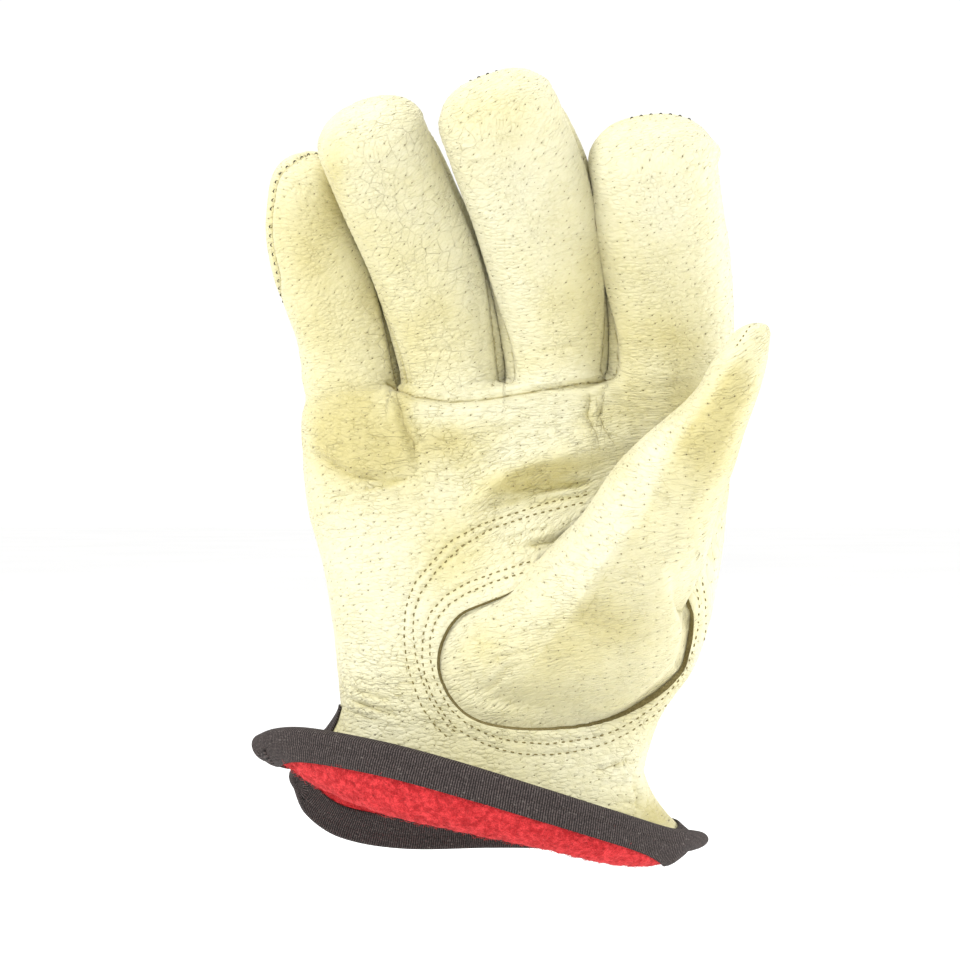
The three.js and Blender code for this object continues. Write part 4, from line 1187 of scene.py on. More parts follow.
def wrinkle_lines(pixels, lines, facing, strong):
    """For each point the signed distance from the nearest drawn wrinkle, and that one's strength."""
    off, strength = np.full(len(pixels), NO_WRINKLE), np.zeros(len(pixels))
    for number, line in enumerate(lines):
        near, distance, side, place = along_line(pixels, line, WRINKLE_REACH)
        closer = distance < np.abs(off[near])
        off[near] = np.where(closer, distance * side, off[near])
        ends = smoothstep(np.minimum(place, 1 - place), -0.02, 0.25)
        ends *= 1.0 if number < strong else 0.45
        strength[near] = np.where(closer, ends * facing[near], strength[near])
    return off, strength


wrinkle_distance, wrinkle_strength = wrinkle_lines(
    in_picture(skin_points), FINE_WRINKLES, facing, STRONG_WRINKLES)

# Each seam is sewn from inside and draws both leathers into a soft groove with a roll on each side. A roll is
# its rise, how far it lies from the seam and its half width.
SEAM_GROOVE = (-1.1, 0, 1.6)
SEAM_ROLL = (0.35, 3.2, 1.6)
BASE_SEAM_ROLL = (0.9, -2.6, 1.8)
BASE_SEAM_CREASE = (-0.4, 3.2, 0.6)
BASE_SEAM_LIP = (0.3, 1.3), (2.5, 3.6)
OVAL_ROLL = (0.3, -1.3, 1.1)
INDEX_CORNER = (69.4, -38.0, 196.5)
INDEX_CORNER_RISE = 2.2
INDEX_CORNER_SPREAD = 3.0
NO_SEAM = 99


def roll(distance, rise, middle, spread):
    return rise * hump(distance, middle, spread)


band_edge = np.where(inner_side & (np.abs(finger_u) > 5) & (z > 119), np.abs(in_strip), NO_SEAM)
side_seam = np.where((any_fork > 0) | is_flare, NO_SEAM, np.abs(front))
on_front = (front > 0) & (any_fork < 0)
base_seam = np.where(on_front & (of_inner > -0.3), np.abs(z - seam_height), NO_SEAM)
seam_distance = np.minimum.reduce([band_edge, side_seam, base_seam])
over_seam = np.where(on_front & (of_inner > 0), z - seam_height, -NO_SEAM)
skin_height += roll(seam_distance, *SEAM_GROOVE) + roll(seam_distance, *SEAM_ROLL)
from_corner = np.linalg.norm(skin_points - INDEX_CORNER, axis=1)
skin_height += roll(from_corner, INDEX_CORNER_RISE, 0, INDEX_CORNER_SPREAD)
skin_height += 0.5 * window(over_seam, *BASE_SEAM_LIP)
skin_height += roll(over_seam, *BASE_SEAM_ROLL) + roll(over_seam, *BASE_SEAM_CREASE)
skin_height += roll(skin_in_oval, *OVAL_ROLL) * (skin_in_oval < 0) * facing

# Neighbouring fingers press their side strips together
# above the crotch, as far as the room between them allows.
STRIP_FULLNESS = 2.0
STRIP_FULL_WIDTH = 7
STRIP_FULL_FROM = (119, 126), (160, 178)
pressed = inner_side & (fork_number > 0)
skin_height += pressed * STRIP_FULLNESS * hump(strip_v, 0, STRIP_FULL_WIDTH) * window(z, *STRIP_FULL_FROM)
skin_height = np.minimum(skin_height, room)

outer_points = skin_points + skin_normals * skin_height[:, None]

# The leather panels. The real glove is cut from pale grained pigskin 1.4 mm thick: the palm, the back, the
# fronts of the ring and the middle finger and three side strips, sewn together inside out and turned. Each
# panel here is the part of the skin where its own score is higher than all others.
LEATHER = 1.4
CORNER_ROUND = 3.0
OFF_THE_EDGE = 9.0

hole = np.where((y < 0) & ~is_flare, -skin_in_oval, 20)
SCORES = {
    "palm_panel": np.minimum.reduce([front, -any_fork, -fronts, hole]),
    "finger_fronts": np.minimum.reduce([front, -any_fork, fronts]),
    "back_panel": np.minimum(-front, -any_fork),
    "fork_little_ring": forks[0], "fork_ring_middle": forks[1], "fork_middle_index": forks[2],
    "thumb": -hole}

# The cuff's corners beside the slit are rounded. The room to its edge is under 0 outside them.
row_arcs = np.stack([run_along(row) for row in cuff_grid])
from_rim = (1 - np.arange(CUFF_ROWS + 1)[:, None] / CUFF_ROWS) * cuff_lengths
from_slit = np.minimum(row_arcs, row_arcs[:, -1:] - row_arcs)
corner_off = np.hypot(np.minimum(from_rim - CORNER_ROUND, 0), np.minimum(from_slit - CORNER_ROUND, 0))
flare_edge = (CORNER_ROUND - corner_off)[1:].reshape(-1)
edge_room = np.full(len(skin_points), 99.0)
edge_room[is_flare] = np.where(flare_edge > CORNER_ROUND - 1e-6, OFF_THE_EDGE, flare_edge)


def solid_piece(name, outer, inner, triangles):
    """A solid sheet between two skins of the same triangles. Its rim's faces have the second material."""
    edges = np.concatenate([triangles[:, [0, 1]], triangles[:, [1, 2]], triangles[:, [2, 0]]])
    keys = edges[:, 0].astype(np.int64) * len(outer) + edges[:, 1]
    back = edges[:, 1].astype(np.int64) * len(outer) + edges[:, 0]
    rim = edges[~np.isin(keys, back)]
    count = len(outer)
    walls = np.concatenate([
        np.stack([rim[:, 1], rim[:, 0], rim[:, 0] + count], 1),
        np.stack([rim[:, 1], rim[:, 0] + count, rim[:, 1] + count], 1)])
    faces = np.concatenate([triangles, triangles[:, ::-1] + count, walls])
    piece = mesh_object(name, np.concatenate([outer, inner]), faces)
    kinds = np.zeros(len(faces), np.int32)
    kinds[len(triangles):2 * len(triangles)] = 2
    kinds[2 * len(triangles):] = 1
    piece.data.polygons.foreach_set("material_index", kinds)
    piece.data.polygons.foreach_set("use_smooth", kinds != 1)
    return piece


def give(piece, name, values):
    """Values at each point of a piece, for its finish."""
    layer = piece.data.attributes.new(name, "FLOAT_VECTOR", "POINT")
    layer.data.foreach_set("vector", values.astype(np.float32).ravel())


# The grain face. Its marks come from the piece's points: u and v are the place on
# the flat leather, t the place along gathered leather, hollow how deep a point lies,
# seam how far the seam is and cloud how yellow the leather is: a random tone with
# patches of painted shade and painted highlight. The colours below paint shade
# into the hollows, creases, wrinkles, pores and seam grooves.
CREAM = rgb(0.615, 0.59, 0.415)
YELLOW = rgb(0.535, 0.49, 0.26)
CREASE_SHADE = rgb(0.82, 0.77, 0.54)
WRINKLE_SHADE = rgb(0.70, 0.63, 0.38)
PORE_SHADE = rgb(0.20, 0.155, 0.07)
SEAM_SHADE = rgb(0.45, 0.39, 0.2)

pigskin, start = new_finish("pale_pigskin")
place = start.place()
u, v, t = start.attribute("cut").parts()
creased, hollow, seam = start.attribute("marks").parts()
line_off, line_strength, cloud = start.attribute("drawn").parts()

# Soft cobbles, wider across the glove than along it, with thin broken creases between them.
sway = place.noise(0.3, 1.0, output=1).parts()
sway_x, sway_y = sway[0] - 0.5, sway[1] - 0.5
cobble_place = start.vector(u * 0.44 + sway_x * 0.7, t * 0.82 + sway_y * 0.7)
cobble = start.node("ShaderNodeTexVoronoi", {"feature": "SMOOTH_F1", "voronoi_dimensions": "2D"},
                    {"Vector": cobble_place, "Scale": 1.0, "Randomness": 0.95, "Smoothness": 0.35})
patches = place.noise(0.11).ramp(0.30, 0.62)
partly = place.noise(0.42, 1.0).ramp(0.40, 0.62)
dome = 1 - cobble.ramp(0.1, 0.75)
coarse_crease = cobble_place.cells("DISTANCE_TO_EDGE", 1.0).line(0.0, 0.10) * (patches * 0.7 + 0.3) * (
    partly * 0.85 + 0.15)
fine_crease = cobble_place.cells("DISTANCE_TO_EDGE", 1.0, 2.1).line(0.0, 0.2) * (1 - partly * 0.7)

# Fine wrinkles across the glove, close where the leather
# is gathered, and the wrinkles that are drawn one by one.
wander = place.noise(0.12, 1.0) - 0.5
wide_place = start.vector(u * 0.085, t * 0.42 + wander * 2.4 + sway_x * 0.35, wander * 1.5)
wide_wave = wide_place.noise(1.0, 1.0) - 0.5
close_place = start.vector(u * 0.16, t * 0.95 + wander * 3.0 + sway_y * 1.2, wander * 2.0 + 7.3)
close_wave = close_place.noise(1.0, 1.0) - 0.5
broken = place.noise(0.16, 1.0).ramp(0.36, 0.6)
drawn_line = (line_off + sway_x * 1.3 + sway_y * 0.5).line(0.0, 0.34) * line_strength * (broken * 0.7 + 0.3)
wrinkle = wide_wave.line(0.0, 0.020) * (creased * 0.9 + 0.2) * broken + drawn_line
crinkle = close_wave.line(0.0, 0.042) * (creased * 0.6 + 0.16) * (partly * 0.8 + 0.2)

# A net of hair cracks, mostly over the ring finger.
net = start.vector(u * 0.21 + sway_x * 0.3, v * 0.25 + sway_y * 0.3).cells("DISTANCE_TO_EDGE", 1.0)
across, _, up = place.parts()
cracked = across.ramp(-40, -30) * (1 - across.ramp(-4, 4)) * up.ramp(118, 135)
cracked = cracked + place.noise(0.04, 1.0).ramp(0.55, 0.66) * 0.5
crack = net.line(0.0, 0.026) * cracked * (partly * 0.5 + 0.5)

# Pores in slanting rows, each in a short slanting crease, some of them closed.
pore_place = start.vector(u * 0.28 + v * 0.12 + sway_x * 0.3, v * 0.34 - u * 0.065 + sway_x * 0.25)
pore_far, pore_colour, pore_middle = (pore_place.cells("F1", 0.58, output=k) for k in range(3))
off_x, off_y, _ = pore_place.vector_math("SUBTRACT", {1: pore_middle}).parts()
kind, size, _ = pore_colour.parts()
open_pore = kind.ramp(0.05, 0.25) * (size * 0.75 + 0.25)
pore = (1 - pore_far.ramp(0.04, 0.09)) * open_pore
pit = (1 - pore_far.ramp(0.04, 0.20)) * open_pore
slit_across = (off_y * 0.91 - off_x * 0.42).line(0.01, 0.065)
slit_along = (off_x * 0.91 + off_y * 0.42).line(0.12, 0.42)
slit = slit_across * slit_along * open_pore

# Colour: cream with a random tone, and painted shade: yellower in the hollows and where the leather lies
# deep, darker in creases, wrinkles, cracks, pores and seam grooves.
mottle = place.noise(0.35)
tone = cloud.ramp(0.0, 1.0).blend(CREAM, YELLOW)
tone = tone.tint(rgb(0.95, 0.94, 0.86), mottle.ramp(0.35, 0.75) * 0.6)
# Painted shade: darker where the drawn tone is strongest.
tone = tone.tint(rgb(0.88, 0.85, 0.72), cloud.ramp(0.6, 1.0))
# Painted shade: yellower where the leather lies deep.
tone = tone.tint(rgb(0.90, 0.86, 0.62), hollow)
# Painted shade in the grain's creases and the pores' slits.
tone = tone.tint(CREASE_SHADE, coarse_crease * (creased * 0.7 + 0.25) + fine_crease * 0.05 + slit * 0.25)
# Painted shade in the wrinkles and the hair cracks.
tone = tone.tint(WRINKLE_SHADE, wrinkle.ramp(0.0, 1.3) * 0.5 + crack * 0.35)
# Painted shade in the pores.
tone = tone.tint(PORE_SHADE, pore * 0.95)
# Painted shade in the seams' grooves.
tone = tone.tint(SEAM_SHADE, (1 - seam.ramp(0.05, 0.6)) * 0.85)
grain = place.noise(2.6) * 0.06 + dome * (patches * 0.5 + 0.5) * 0.24 + mottle * 0.2
grain = grain - coarse_crease * (creased * 0.14 + 0.08) - fine_crease * 0.045 - wrinkle * 0.28 - crinkle * 0.16
grain = grain - crack * 0.2 - pit * 0.2 - slit * 0.14
dress(pigskin, {"Base Color": tone, "Roughness": mottle.ramp(0.2, 0.8) * 0.12 + 0.5 + wrinkle * 0.1,
                "Specular IOR Level": 0.35, "Sheen Weight": 0.25, "Sheen Roughness": 0.4,
                "Sheen Tint": rgb(1.0, 0.97, 0.85)}, grain)

# The cut edge is painted dark brown: its own colour, darkened with painted shade for the gap round the thumb's
# seam.
shaded_raw_edge, start = new_finish("cut_edge_painted_shade")
cut_edge_shade_tone = start.place().noise(1.6, 3.0).ramp(0.3, 0.75).blend(rgb(0.12, 0.097, 0.038), rgb(0.21, 0.175, 0.08))
dress(shaded_raw_edge, {"Base Color": cut_edge_shade_tone, "Roughness": 0.95, "Specular IOR Level": 0.1})
suede, _ = new_finish("leather_flesh_side")
dress(suede, {"Base Color": rgb(0.30, 0.25, 0.13), "Roughness": 0.95})

# The inner face lies one thickness in. Round the oval seam the cut edge slants
# towards the thumb, less steeply on the side away from the fingers.
EDGE_SLANT = 0.9
EDGE_SLANT_LOWER = -0.5
LOWER_SIDE = (12, 16.5), (19, 20.5)

way = np.roll(oval, -1, axis=0) - oval
inward = unit(np.stack([way[:, 1], 0 * way[:, 0], way[:, 0]], 1))[oval_part]
inward -= skin_normals * (inward * skin_normals).sum(1, keepdims=True)
slant = EDGE_SLANT + EDGE_SLANT_LOWER * window(corner, *LOWER_SIDE)[oval_part]
slant = slant * smoothstep(skin_in_oval, -2.4, -0.2) * (y < 0)
inner_skin = skin_points + skin_normals * (np.minimum(skin_height, 0) - LEATHER)[:, None]
inner_skin += unit(inward) * slant[:, None]
at_seam = (np.abs(skin_in_oval) < 4) & (y < 0) & ~is_flare
inner_skin = outer_points + smoothed(inner_skin - outer_points, pairs, 0.5 * at_seam, 6)


def hollowness(height):
    """How far the leather lies in, from 0 on the face to 1 in the deepest folds."""
    return np.clip(-(height + 0.1) / 1.6, 0, 1)


# How closely the leather is creased: at the wrist, below the fingers and beside the thumb.
BESIDE_THE_THUMB = (652, 402), (15, 13), 0, 0.35
creased = 0.12 + 0.9 * hump(z, 34, 12) + 0.4 * hump(z, 111, 9) * (y < 0)
creased += 0.5 * hump(x, 12, 34) * hump(z, 96, 13) * (y < 0)
swell(creased, in_picture(skin_points), y < 0, *BESIDE_THE_THUMB)
leather_marks = {
    "cut": np.column_stack([cut_place, lay[:, 1]]),
    "marks": np.column_stack([np.minimum(creased, 1.0), hollowness(skin_height), seam_distance]),
    "drawn": np.column_stack([wrinkle_distance, wrinkle_strength, tone_with_painted_light(skin_points)]),
    "inner": inner_skin}


def leather_piece(name, outer, inner, triangles, carried):
    """A finished piece of leather from its two skins."""
    piece = solid_piece(name + "_leather", outer, inner, triangles)
    for mark in ("cut", "marks", "drawn"):
        give(piece, mark, np.tile(carried[mark], (2, 1)))
    for finish in (pigskin, shaded_raw_edge, suede):
        piece.data.materials.append(finish)
    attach(piece, "root")
    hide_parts(name)


for name, score in SCORES.items():
    if name != "thumb":
        field = score - np.max([other for key, other in SCORES.items() if key != name], axis=0)
        kept_where = np.minimum(field, edge_room)
        points, triangles, carried = cut_away(outer_points, skin_triangles, kept_where, leather_marks)
        leather_piece(name, points, carried["inner"], triangles, carried)

# The thumb. The real one is a keystone thumb: one piece of the same pigskin wrapped round the
# form above and set into the oval seam. Its foot goes in under the palm's cut edge, and a
# sharp crest runs up its front where the leather is pinched.
OVAL_MARGIN = 3.0
LAP_DROP = 2.0
FOOT_REACH = -12
BEHIND_THE_LEATHER = -9.0
THUMB_LEFT_PIXEL = 430
THUMB_IN_FRONT = -15
THUMB_ABOVE = 20
FOOT_IN_FRONT = -8
STANDING_OUT = 2.5
LEFT_OUT = -5

thumb_pixels = in_picture(thumb_points)
in_oval, thumb_part = inside_curve(thumb_pixels, oval)
stands_in_front = (thumb_points[:, 1] < THUMB_IN_FRONT) & (thumb_points[:, 2] > THUMB_ABOVE)
stands_in_front &= thumb_pixels[:, 0] > THUMB_LEFT_PIXEL
roughly = (in_oval > FOOT_REACH) | stands_in_front
roughly &= thumb_points[:, 1] < FOOT_IN_FRONT
stands_out = np.full(len(thumb_points), BEHIND_THE_LEATHER)
stands_out[roughly] = above_skin(thumb_points[roughly])
thumb_field = np.maximum(in_oval + OVAL_MARGIN, stands_out - STANDING_OUT)
thumb_field = np.where(roughly, thumb_field, LEFT_OUT)
tucked = (1 - smoothstep(in_oval, 0.0, 3.5)) * lower_part[thumb_part] * (in_oval > -9) * roughly
under = thumb_points.copy()
for k in np.nonzero(tucked > 0.001)[0]:
    found, normal, _, _ = skin_tree.find_nearest(Vector(thumb_points[k]))
    under[k] = found - normal * LAP_DROP
thumb_points += (under - thumb_points) * tucked[:, None]
softened = 0.5 * (np.abs(in_oval) < 6) * (lower_part[thumb_part] > 0.01)
thumb_points = smoothed(thumb_points, thumb_pairs, softened, 6)

# The thumb's leather on the flat: across it from its middle, and along it.
thumb_height, thumb_u, thumb_v = place_in(thumb_points, thumb_sections, THUMB[1, 0], THUMB[-1, 0])[:3]
heights = np.linspace(THUMB[0, 0], THUMB[-1, 0], 90)
up_thumb = np.interp(thumb_height, heights, run_along(along(THUMB[:, :3], heights)))
thumb_cut = np.stack([thumb_u + np.sign(thumb_u) * np.maximum(thumb_v + 8, 0) * 0.6,
                      up_thumb + np.minimum(thumb_points[:, 2] - THUMB[1, 0], 0)], 1)
thumb_lay = thumb_cut[:, 1] - 0.55 * thumb_cut[:, 0]

# The crest's line, and each crease: the points of its line, its half width and its depth in mm.
THUMB_RIDGE = [
    (746, 344), (726, 368), (712, 395), (698, 415), (677, 438), (661, 462), (654, 486), (643, 507),
    (631, 527), (616, 549), (601, 567), (590, 588), (576, 605), (562, 624)]
THUMB_CREASES = [
    ([(466, 635), (478, 641), (488, 645), (500, 643)], 0.9, 0.3),
    ([(478, 668), (497, 659), (516, 654), (538, 649)], 0.9, 0.3),
    ([(486, 692), (498, 681), (508, 669), (522, 664)], 1.0, 0.35),
    ([(470, 692), (489, 690), (504, 680)], 0.9, 0.2),
    ([(505, 641), (530, 634), (552, 627), (568, 616)], 0.9, 0.25),
    ([(548, 632), (566, 612), (580, 592), (592, 570)], 0.9, 0.4),
    ([(575, 628), (588, 608), (598, 590), (606, 572)], 0.9, 0.35),
    ([(720, 374), (728, 377), (736, 371)], 0.9, 0.5), ([(706, 384), (714, 388), (722, 386)], 0.9, 0.4),
    ([(664, 470), (672, 476), (682, 474)], 0.9, 0.4), ([(656, 484), (664, 490), (674, 488)], 0.9, 0.4),
    ([(640, 508), (648, 514), (658, 512)], 0.9, 0.4)]
THUMB_WRINKLES = [line for line, _, _ in THUMB_CREASES] + [
    [(474, 655), (488, 651), (503, 646), (520, 640)], [(520, 652), (545, 646), (562, 640)],
    [(538, 668), (556, 660), (572, 648)], [(503, 631), (520, 628), (540, 620)],
    [(455, 664), (470, 668), (484, 666)], [(600, 558), (612, 545), (622, 530)],
    [(610, 572), (622, 556), (634, 538)], [(588, 560), (602, 545), (614, 528)],
    [(640, 478), (650, 486), (656, 494)], [(648, 462), (658, 470), (664, 482)],
    [(690, 418), (700, 412), (712, 410)], [(684, 436), (698, 437), (712, 432)],
    [(676, 452), (690, 455), (704, 450)], [(700, 400), (712, 402), (724, 396)],
    [(712, 356), (722, 360), (731, 357)], [(690, 520), (700, 512), (710, 502)],
    [(694, 536), (703, 528), (712, 516)], [(476, 674), (486, 672), (497, 668)],
    [(492, 700), (504, 694), (514, 684)], [(560, 655), (580, 644), (598, 632)],
    [(528, 684), (548, 676), (566, 664)], [(566, 676), (590, 668), (610, 656)],
    [(604, 610), (616, 598), (626, 584)], [(582, 636), (596, 622), (606, 606)]]
CREST = 4.0
CREST_FALL = 5.5
THUMB_HOLLOW = (484, 652), (8, 7), 0.2, -1.0
THUMB_PILLOW = (600, 690), (20, 9), 0.3, 0.7
PINCH = (600, 560)
PINCH_WAY = (0.72, 0.69)

thumb_pixels = in_picture(thumb_points)
thumb_normals = point_normals(thumb_points, thumb_triangles)
thumb_facing = smoothstep(-thumb_normals[:, 1], -0.1, 0.35)
thumb_relief = np.zeros(len(thumb_points))
near, distance, _, place = along_line(thumb_pixels, THUMB_RIDGE, 17.0)
ends = smoothstep(np.minimum(place, 1 - place), 0, 0.14)
thumb_relief[near] += CREST * np.exp(-distance / CREST_FALL) * ends * thumb_facing[near]
swell(thumb_relief, thumb_pixels, thumb_facing, *THUMB_HOLLOW)
swell(thumb_relief, thumb_pixels, thumb_facing, *THUMB_PILLOW)
for crease in THUMB_CREASES:
    press(thumb_relief, thumb_pixels, thumb_facing, *crease)
pinched = hump((thumb_pixels - np.array(PINCH)) @ np.array(PINCH_WAY), 0, 70)
thumb_sheet = np.column_stack([thumb_cut[:, 0], thumb_lay])
thumb_relief += gathers(thumb_points, thumb_sheet, 0.1 + 0.5 * pinched, 51, 3.2, 0.2) * thumb_facing
thumb_relief += gathers(thumb_points, thumb_sheet, 0.2, 61, 2.6, 0.12) * thumb_facing
thumb_relief *= smoothstep(in_oval, 0.0, 4.0)

# Painted light on the thumb: the facet beyond the crest is painted yellower as shade, and the leather on its
# near side paler as a highlight.
FACET_PAINTED_LIGHT = 0.34
thumb_tone_and_painted_light = tone_with_painted_light(thumb_points) + 0.06
near, distance, side, place = along_line(thumb_pixels, THUMB_RIDGE, 28.0)
beyond = -side * distance
facet = FACET_PAINTED_LIGHT * (smoothstep(beyond, -1.0, 3.0) * hump(distance, 0, 23)
                 - smoothstep(-beyond, -1.0, 4.0) * hump(distance, 0, 10))
facet *= smoothstep(np.minimum(place, 1 - place), -0.05, 0.1)
thumb_tone_and_painted_light[near] = np.clip(thumb_tone_and_painted_light[near] + facet, 0, 1)
thumb_lines = wrinkle_lines(thumb_pixels, THUMB_WRINKLES, thumb_facing, 0)
thumb_points, thumb_triangles, thumb_carried = cut_away(
    thumb_points + thumb_normals * thumb_relief[:, None], thumb_triangles, thumb_field,
    {"in_oval": in_oval, "cut": np.column_stack([thumb_cut, thumb_lay]),
     "marks": np.column_stack([0.05 + 0.35 * pinched, hollowness(thumb_relief), np.full(len(in_oval), 9.0)]),
     "drawn": np.column_stack([*thumb_lines, thumb_tone_and_painted_light])})
thumb_inside = smoothed(-point_normals(thumb_points, thumb_triangles), edge_pairs(thumb_triangles),
                        np.full(len(thumb_points), 0.5), 12)
thumb_inner = thumb_points + unit(thumb_inside) * LEATHER
thumb_inner[:, 1] += 1.2 * (1 - smoothstep(thumb_carried["in_oval"], 2.0, 5.0))
leather_piece("thumb", thumb_points, thumb_inner, thumb_triangles, thumb_carried)

# Red fleece lining. A soft brushed fleece is laid under the leather and shows where the cuff turns up. It is
# held in the hem by the tape and runs up inside the wrist. It lies between two depths under the leather's
# face, and is pressed thin by the tape at the cuff's edge.
LINING_TOP = 1.9
LINING_BOTTOM = 3.6
LINING_REACH = 26.0
HEM_TOP = 0.4
HEM_BOTTOM = 1.3

above_wrist = (skin_points - wrist_centre) @ wrist_up
to_edge = np.full(len(skin_points), 20.0)
to_edge[is_flare] = np.minimum(from_rim, from_slit)[1:].reshape(-1)
thinner = 1 - smoothstep(to_edge, 2.0, 10.0)
lining_field = np.minimum(np.where(is_flare, 99, LINING_REACH - above_wrist), edge_room)
lining_field = np.where((y < 0) & ~is_flare, np.minimum(lining_field, -skin_in_oval - 5), lining_field)
sheet_points, sheet_triangles, sheet_carried = cut_away(
    skin_points, skin_triangles, lining_field, {"normal": skin_normals, "thinner": thinner})
sheet_normals = unit(sheet_carried["normal"])
hemmed = sheet_carried["thinner"][:, None]
uneven = (lattice_noise(sheet_points / 2.4, 71) * 0.28 + lattice_noise(sheet_points / 1.1, 72) * 0.14)[:, None]
lining_outer = sheet_points - sheet_normals * (LINING_TOP - HEM_TOP * hemmed)
lining_inner = sheet_points - sheet_normals * (LINING_BOTTOM - HEM_BOTTOM * hemmed + uneven * (1 - hemmed))
lining = solid_piece("fleece_lining", lining_outer, lining_inner, sheet_triangles)

fleece, start = new_finish("red_fleece")
matted = start.place().noise(0.55, 3.0, 0.6)
tufts = start.place().noise(2.2, 3.0, 0.65)
red = matted.ramp(0.36, 0.66).blend(rgb(0.42, 0.018, 0.022), rgb(0.66, 0.045, 0.05))
red = red.tint(rgb(0.78, 0.7, 0.7), 1 - tufts.ramp(0.38, 0.60))
dress(fleece, {"Base Color": red, "Roughness": 1.0, "Specular IOR Level": 0.05, "Sheen Weight": 0.3,
               "Sheen Roughness": 0.6, "Sheen Tint": rgb(1.0, 0.25, 0.25)}, matted * 0.6 + tufts * 0.22)
for _ in ("outer face", "rim", "inner face"):
    lining.data.materials.append(fleece)
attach(lining, "root")
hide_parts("lining")

# Loose fibres. Brushing pulls fine loops out of the fleece, which stand up all over the part of it
# that shows. Each is a thin bent thread with its foot in the fleece, and is drawn through four
# rings of three points: how far along the fibre each lies and how thick it is there.
FIBRE_COUNT = 6200
FIBRE_LONG = (0.9, 2.4)
FIBRE_LIFT = (0.15, 0.55)
FIBRE_THICK = 0.11
FIBRE_BEND = 2.2
FIBRE_SIDES = (0, 2.1, 4.2)
FLEECE_SHOWS_BELOW = 22
FLEECE_SHOWS_IN_FRONT = -4
FIBRE_RINGS = ((-0.12, 1.0), (0.35, 0.9), (0.7, 0.7), (1.0, 0.25))
chance = np.random.default_rng(7)
corners_of = sheet_points[sheet_triangles]
middle = corners_of.mean(1)
edges_of = corners_of[:, 1:] - corners_of[:, :1]
area = np.linalg.norm(np.cross(edges_of[:, 0], edges_of[:, 1]), axis=1)
unpressed = 1 - sheet_carried["thinner"][sheet_triangles].mean(1) > 0.3
shows = (middle[:, 2] < FLEECE_SHOWS_BELOW) & (middle[:, 1] < FLEECE_SHOWS_IN_FRONT)
area = area * (unpressed & shows)
picked = chance.choice(len(area), FIBRE_COUNT, p=area / area.sum())
share = chance.dirichlet((1, 1, 1), FIBRE_COUNT)[:, :, None]
foot = (lining_inner[sheet_triangles[picked]] * share).sum(1)
away = -unit((sheet_normals[sheet_triangles[picked]] * share).sum(1))
drift = unit(chance.normal(size=(FIBRE_COUNT, 3)))
drift = unit(drift - away * (drift * away).sum(1, keepdims=True))
long = chance.uniform(*FIBRE_LONG, FIBRE_COUNT)[:, None]
lift_off = chance.uniform(*FIBRE_LIFT, FIBRE_COUNT)[:, None]
fibre_rings = []
side_way = np.cross(drift, away)
for step, size in FIBRE_RINGS:
    height = lift_off * long * math.sin(FIBRE_BEND * max(step, 0)) - 0.05
    centre = foot + drift * long * step + away * height
    fibre_rings.append(np.stack([
        centre + (side_way * math.cos(a) + away * math.sin(a)) * FIBRE_THICK / 2 * size
        for a in FIBRE_SIDES], 1))
fibre_rings = np.stack(fibre_rings, 1)
one, fibre_faces = tube_mesh(fibre_rings[0], fibre_rings[0, 0].mean(0), fibre_rings[0, -1].mean(0))
fibre_points = np.concatenate([fibre_rings[:, 0].mean(1)[:, None], fibre_rings.reshape(FIBRE_COUNT, -1, 3),
                               fibre_rings[:, -1].mean(1)[:, None]], 1)
fibre_faces = fibre_faces[None] + (np.arange(FIBRE_COUNT) * len(one))[:, None, None]
fuzz = mesh_object("fleece_fibres", fibre_points.reshape(-1, 3), fibre_faces.reshape(-1, 3))
fuzz.data.materials.append(fleece)
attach(fuzz, "root")

# Black twill tape. It is folded over the cuff's rim and up both edges of the slit, with its own edges turned
# under, and sewn through with one row of stitches. Outside and inside are heights over the leather's face.
TAPE_WIDTH = 7.8
TAPE_WIDER_BEHIND = 0.36
TAPE_OUTSIDE = 1.0
TAPE_INSIDE = -4.4
TAPE_INSIDE_AT_RIM = -3.5
TAPE_THICK = 0.8
TAPE_STEP = 0.85
RIB_PITCH = 0.72
YARN_PITCH = 0.8
SEWN_ACROSS = 5.67
TAPE_STITCH_PITCH = 2.5
MEASURED_AT = 10

rim_arc = row_arcs[-1]


def on_cuff(below, beside):
    """Places on the cuff's surface, by the distance from the rim and the distance along the rim."""
    column = np.interp(beside, rim_arc, np.arange(len(rim_arc)))
    length = np.interp(column, np.arange(len(cuff_lengths)), cuff_lengths)
    row = np.clip((1 - below / length), 0, 1) * CUFF_ROWS
    c0 = np.clip(column.astype(int), 0, len(rim_arc) - 2)
    r0 = np.clip(row.astype(int), 0, CUFF_ROWS - 1)
    s, t = (column - c0)[:, None], (row - r0)[:, None]
    result = []
    for grid in (cuff_grid, cuff_normals):
        upper = grid[r0, c0] * (1 - s) + grid[r0, c0 + 1] * s
        lower = grid[r0 + 1, c0] * (1 - s) + grid[r0 + 1, c0 + 1] * s
        result.append(upper * (1 - t) + lower * t)
    return result[0], unit(result[1])


